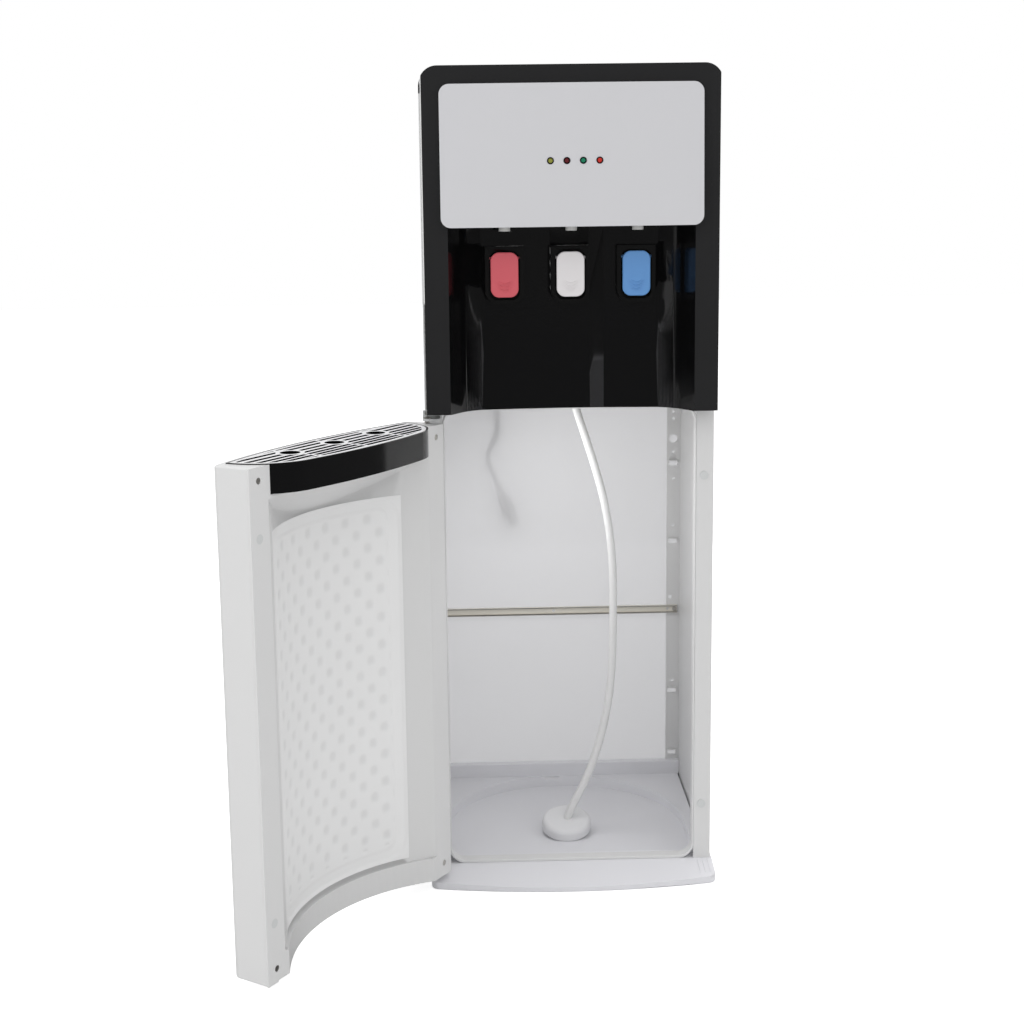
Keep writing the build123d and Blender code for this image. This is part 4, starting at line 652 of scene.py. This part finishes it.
# ---------------------------------------------------------------- stippled field of the door
# The middle of the round recess is a stippled field in a shallow sunk border, moulded so that
# the bottle doesn't cling to it, with a row of short ticks at its foot.
DOOR_OPEN = radians(123.57)                 # the door stands this far open
HINGE_AT = (-0.163, FRONT - 0.0195)
MIDDLE_OUT, FACE_OUT = 0.163, 0.018         # door's middle and inner face, from the hinge line
AXIS_OUT, RECESS_R = 0.163, 0.215           # recess axis before the door's inner face, its radius
GRID_HALF, GRID_LOW, GRID_TOP = 0.1119, 0.0511, 0.4789      # the pocket, a hair inside its walls
BORDER_HALF, BORDER_LOW, BORDER_TOP, BORDER_CORNER = 0.110, 0.053, 0.477, 0.026
FIELD_HALF, FIELD_LOW, FIELD_TOP, FIELD_CORNER = 0.097, 0.066, 0.466, 0.012
BORDER_DEEP, FIELD_PROUD = 0.0012, 0.0008   # the border under the recess, the field over the border
DIMPLES_ACROSS, DIMPLES_UP = 0.030, 0.0323  # spacing along the arc and up the door
DIMPLE_ROW, DIMPLES_FROM = 0.085, 0.078     # height of the first row, and of its lower side
DIMPLE_RIM = 0.08                           # level of the wave at a dimple's rim
TICK_ROW, TICK_HALF, TICK_THIN = 0.0735, 0.0028, 0.0012
TICK_FADE = 1.6                             # half widths from a tick's middle to where it ends

# whiter and duller than the liner; the hollows are darkened in its colour, painted shade for the shade that
# falls in them
HOLLOW_SHADE_SHARE = 0.10                         # how far a hollow's colour goes towards dark grey
bright_abs = plastic(
    "moulded ABS, white, matt field", "#EBEBEB", 0.42, mottle=0.012, grain=0.0007, relief=0.10,
)
tree = bright_abs.node_tree
hollows = add_node(tree, "ShaderNodeAttribute", attribute_name="hollow")
share = add_node(tree, "ShaderNodeMath", {0: (hollows, "Fac"), 1: HOLLOW_SHADE_SHARE}, operation="MULTIPLY")
surface = next(node for node in tree.nodes if node.type == "BSDF_PRINCIPLED")
shade = surface.inputs["Base Color"].links[0].from_node
hollow_shade = add_node(
    tree, "ShaderNodeMix",
    {"Factor": (share, "Value"), COLOUR_A: (shade, COLOUR_OUT), COLOUR_B: linear("#3C3C3C")},
    data_type="RGBA",
)
tree.links.new(hollow_shade.outputs[COLOUR_OUT], surface.inputs["Base Color"])


def within(across, height, half, low, top, corner, soft=0.002):
    """1 inside a rounded rectangle and 0 outside, smooth over this distance: smoothstep of the
    signed distance to its outline."""
    side = np.abs(across) - (half - corner)
    end = np.abs(height - (low + top) / 2) - ((top - low) / 2 - corner)
    away = np.hypot(np.maximum(side, 0), np.maximum(end, 0)) + np.minimum(np.maximum(side, end), 0) - corner
    step = np.clip(0.5 - away / soft, 0, 1)
    return step ** 2 * (3 - 2 * step)


def stippled_field(columns=150, rows=250):
    """Grid over the pocket. Its radius is that of the recess, 1.2 mm more in the border, and
    0.4 mm more in the field, where each dimple adds 0.8 mm: the dimples are where
    cos(2 pi u / 30 mm) * cos(2 pi v / 32.3 mm) nears 1, u being arc length and v height."""
    reach = np.arcsin(GRID_HALF / RECESS_R)
    turn, height = np.meshgrid(np.linspace(-reach, reach, columns), np.linspace(GRID_LOW, GRID_TOP, rows))
    arc, across = turn * RECESS_R, np.sin(turn) * RECESS_R
    wave = np.cos(2 * np.pi * arc / DIMPLES_ACROSS) * np.cos(2 * np.pi * (height - DIMPLE_ROW) / DIMPLES_UP)
    dimple = np.clip((wave - DIMPLE_RIM) / (1 - DIMPLE_RIM), 0, 1)
    dimple = dimple ** 2 * (3 - 2 * dimple) * (height > DIMPLES_FROM)
    from_tick = np.abs((arc + DIMPLES_ACROSS / 2) % DIMPLES_ACROSS - DIMPLES_ACROSS / 2)
    tick = np.clip(TICK_FADE - from_tick / TICK_HALF, 0, 1)
    tick = tick * np.clip(TICK_FADE - np.abs(height - TICK_ROW) / TICK_THIN, 0, 1)
    border = within(across, height, BORDER_HALF, BORDER_LOW, BORDER_TOP, BORDER_CORNER)
    field = within(across, height, FIELD_HALF, FIELD_LOW, FIELD_TOP, FIELD_CORNER)
    hollow = np.maximum(dimple, tick)
    radius = RECESS_R + BORDER_DEEP * border - FIELD_PROUD * field * (1 - hollow)
    # from the door's own axes to the place where it stands open
    along, out = MIDDLE_OUT + radius * np.sin(turn), FACE_OUT + AXIS_OUT - radius * np.cos(turn)
    points = np.stack((
        HINGE_AT[0] + along * np.cos(DOOR_OPEN) + out * np.sin(DOOR_OPEN),
        HINGE_AT[1] - along * np.sin(DOOR_OPEN) + out * np.cos(DOOR_OPEN),
        height,
    ), -1).reshape(-1, 3)
    made = mesh_piece("stippled_field", points, quads(rows, columns), bright_abs)
    made.data.polygons.foreach_set("use_smooth", np.ones(len(made.data.polygons), bool))
    # mask of the hollows, which the field's material darkens as painted shade
    mark = made.data.attributes.new("hollow", "FLOAT", "POINT")
    mark.data.foreach_set("value", (field * hollow).reshape(-1).astype(np.float32))
    return made


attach(stippled_field(), "door")

# ---------------------------------------------------------------- drip tray and grille
# The tray lies in the door's top edge and lifts out, moulded in the front's gloss black. The grille on it
# has silver bars. Only the faces that look up take the silver. The black left on their sides and slot walls
# is painted shade for the dark slots.
seamless("drip_tray", gloss_black)
grille = seamless("drip_grille", housing_black)
silver_bar_tops = plastic("silver, bar tops", "#E2E2E4", 0.32, mottle=0.03, grain=0.0005, relief=0.05)
# faces that look up are silver; the black on the other faces is painted shade
second_finish(grille, silver_bar_tops, lambda face: face.normal.z > 0.9)
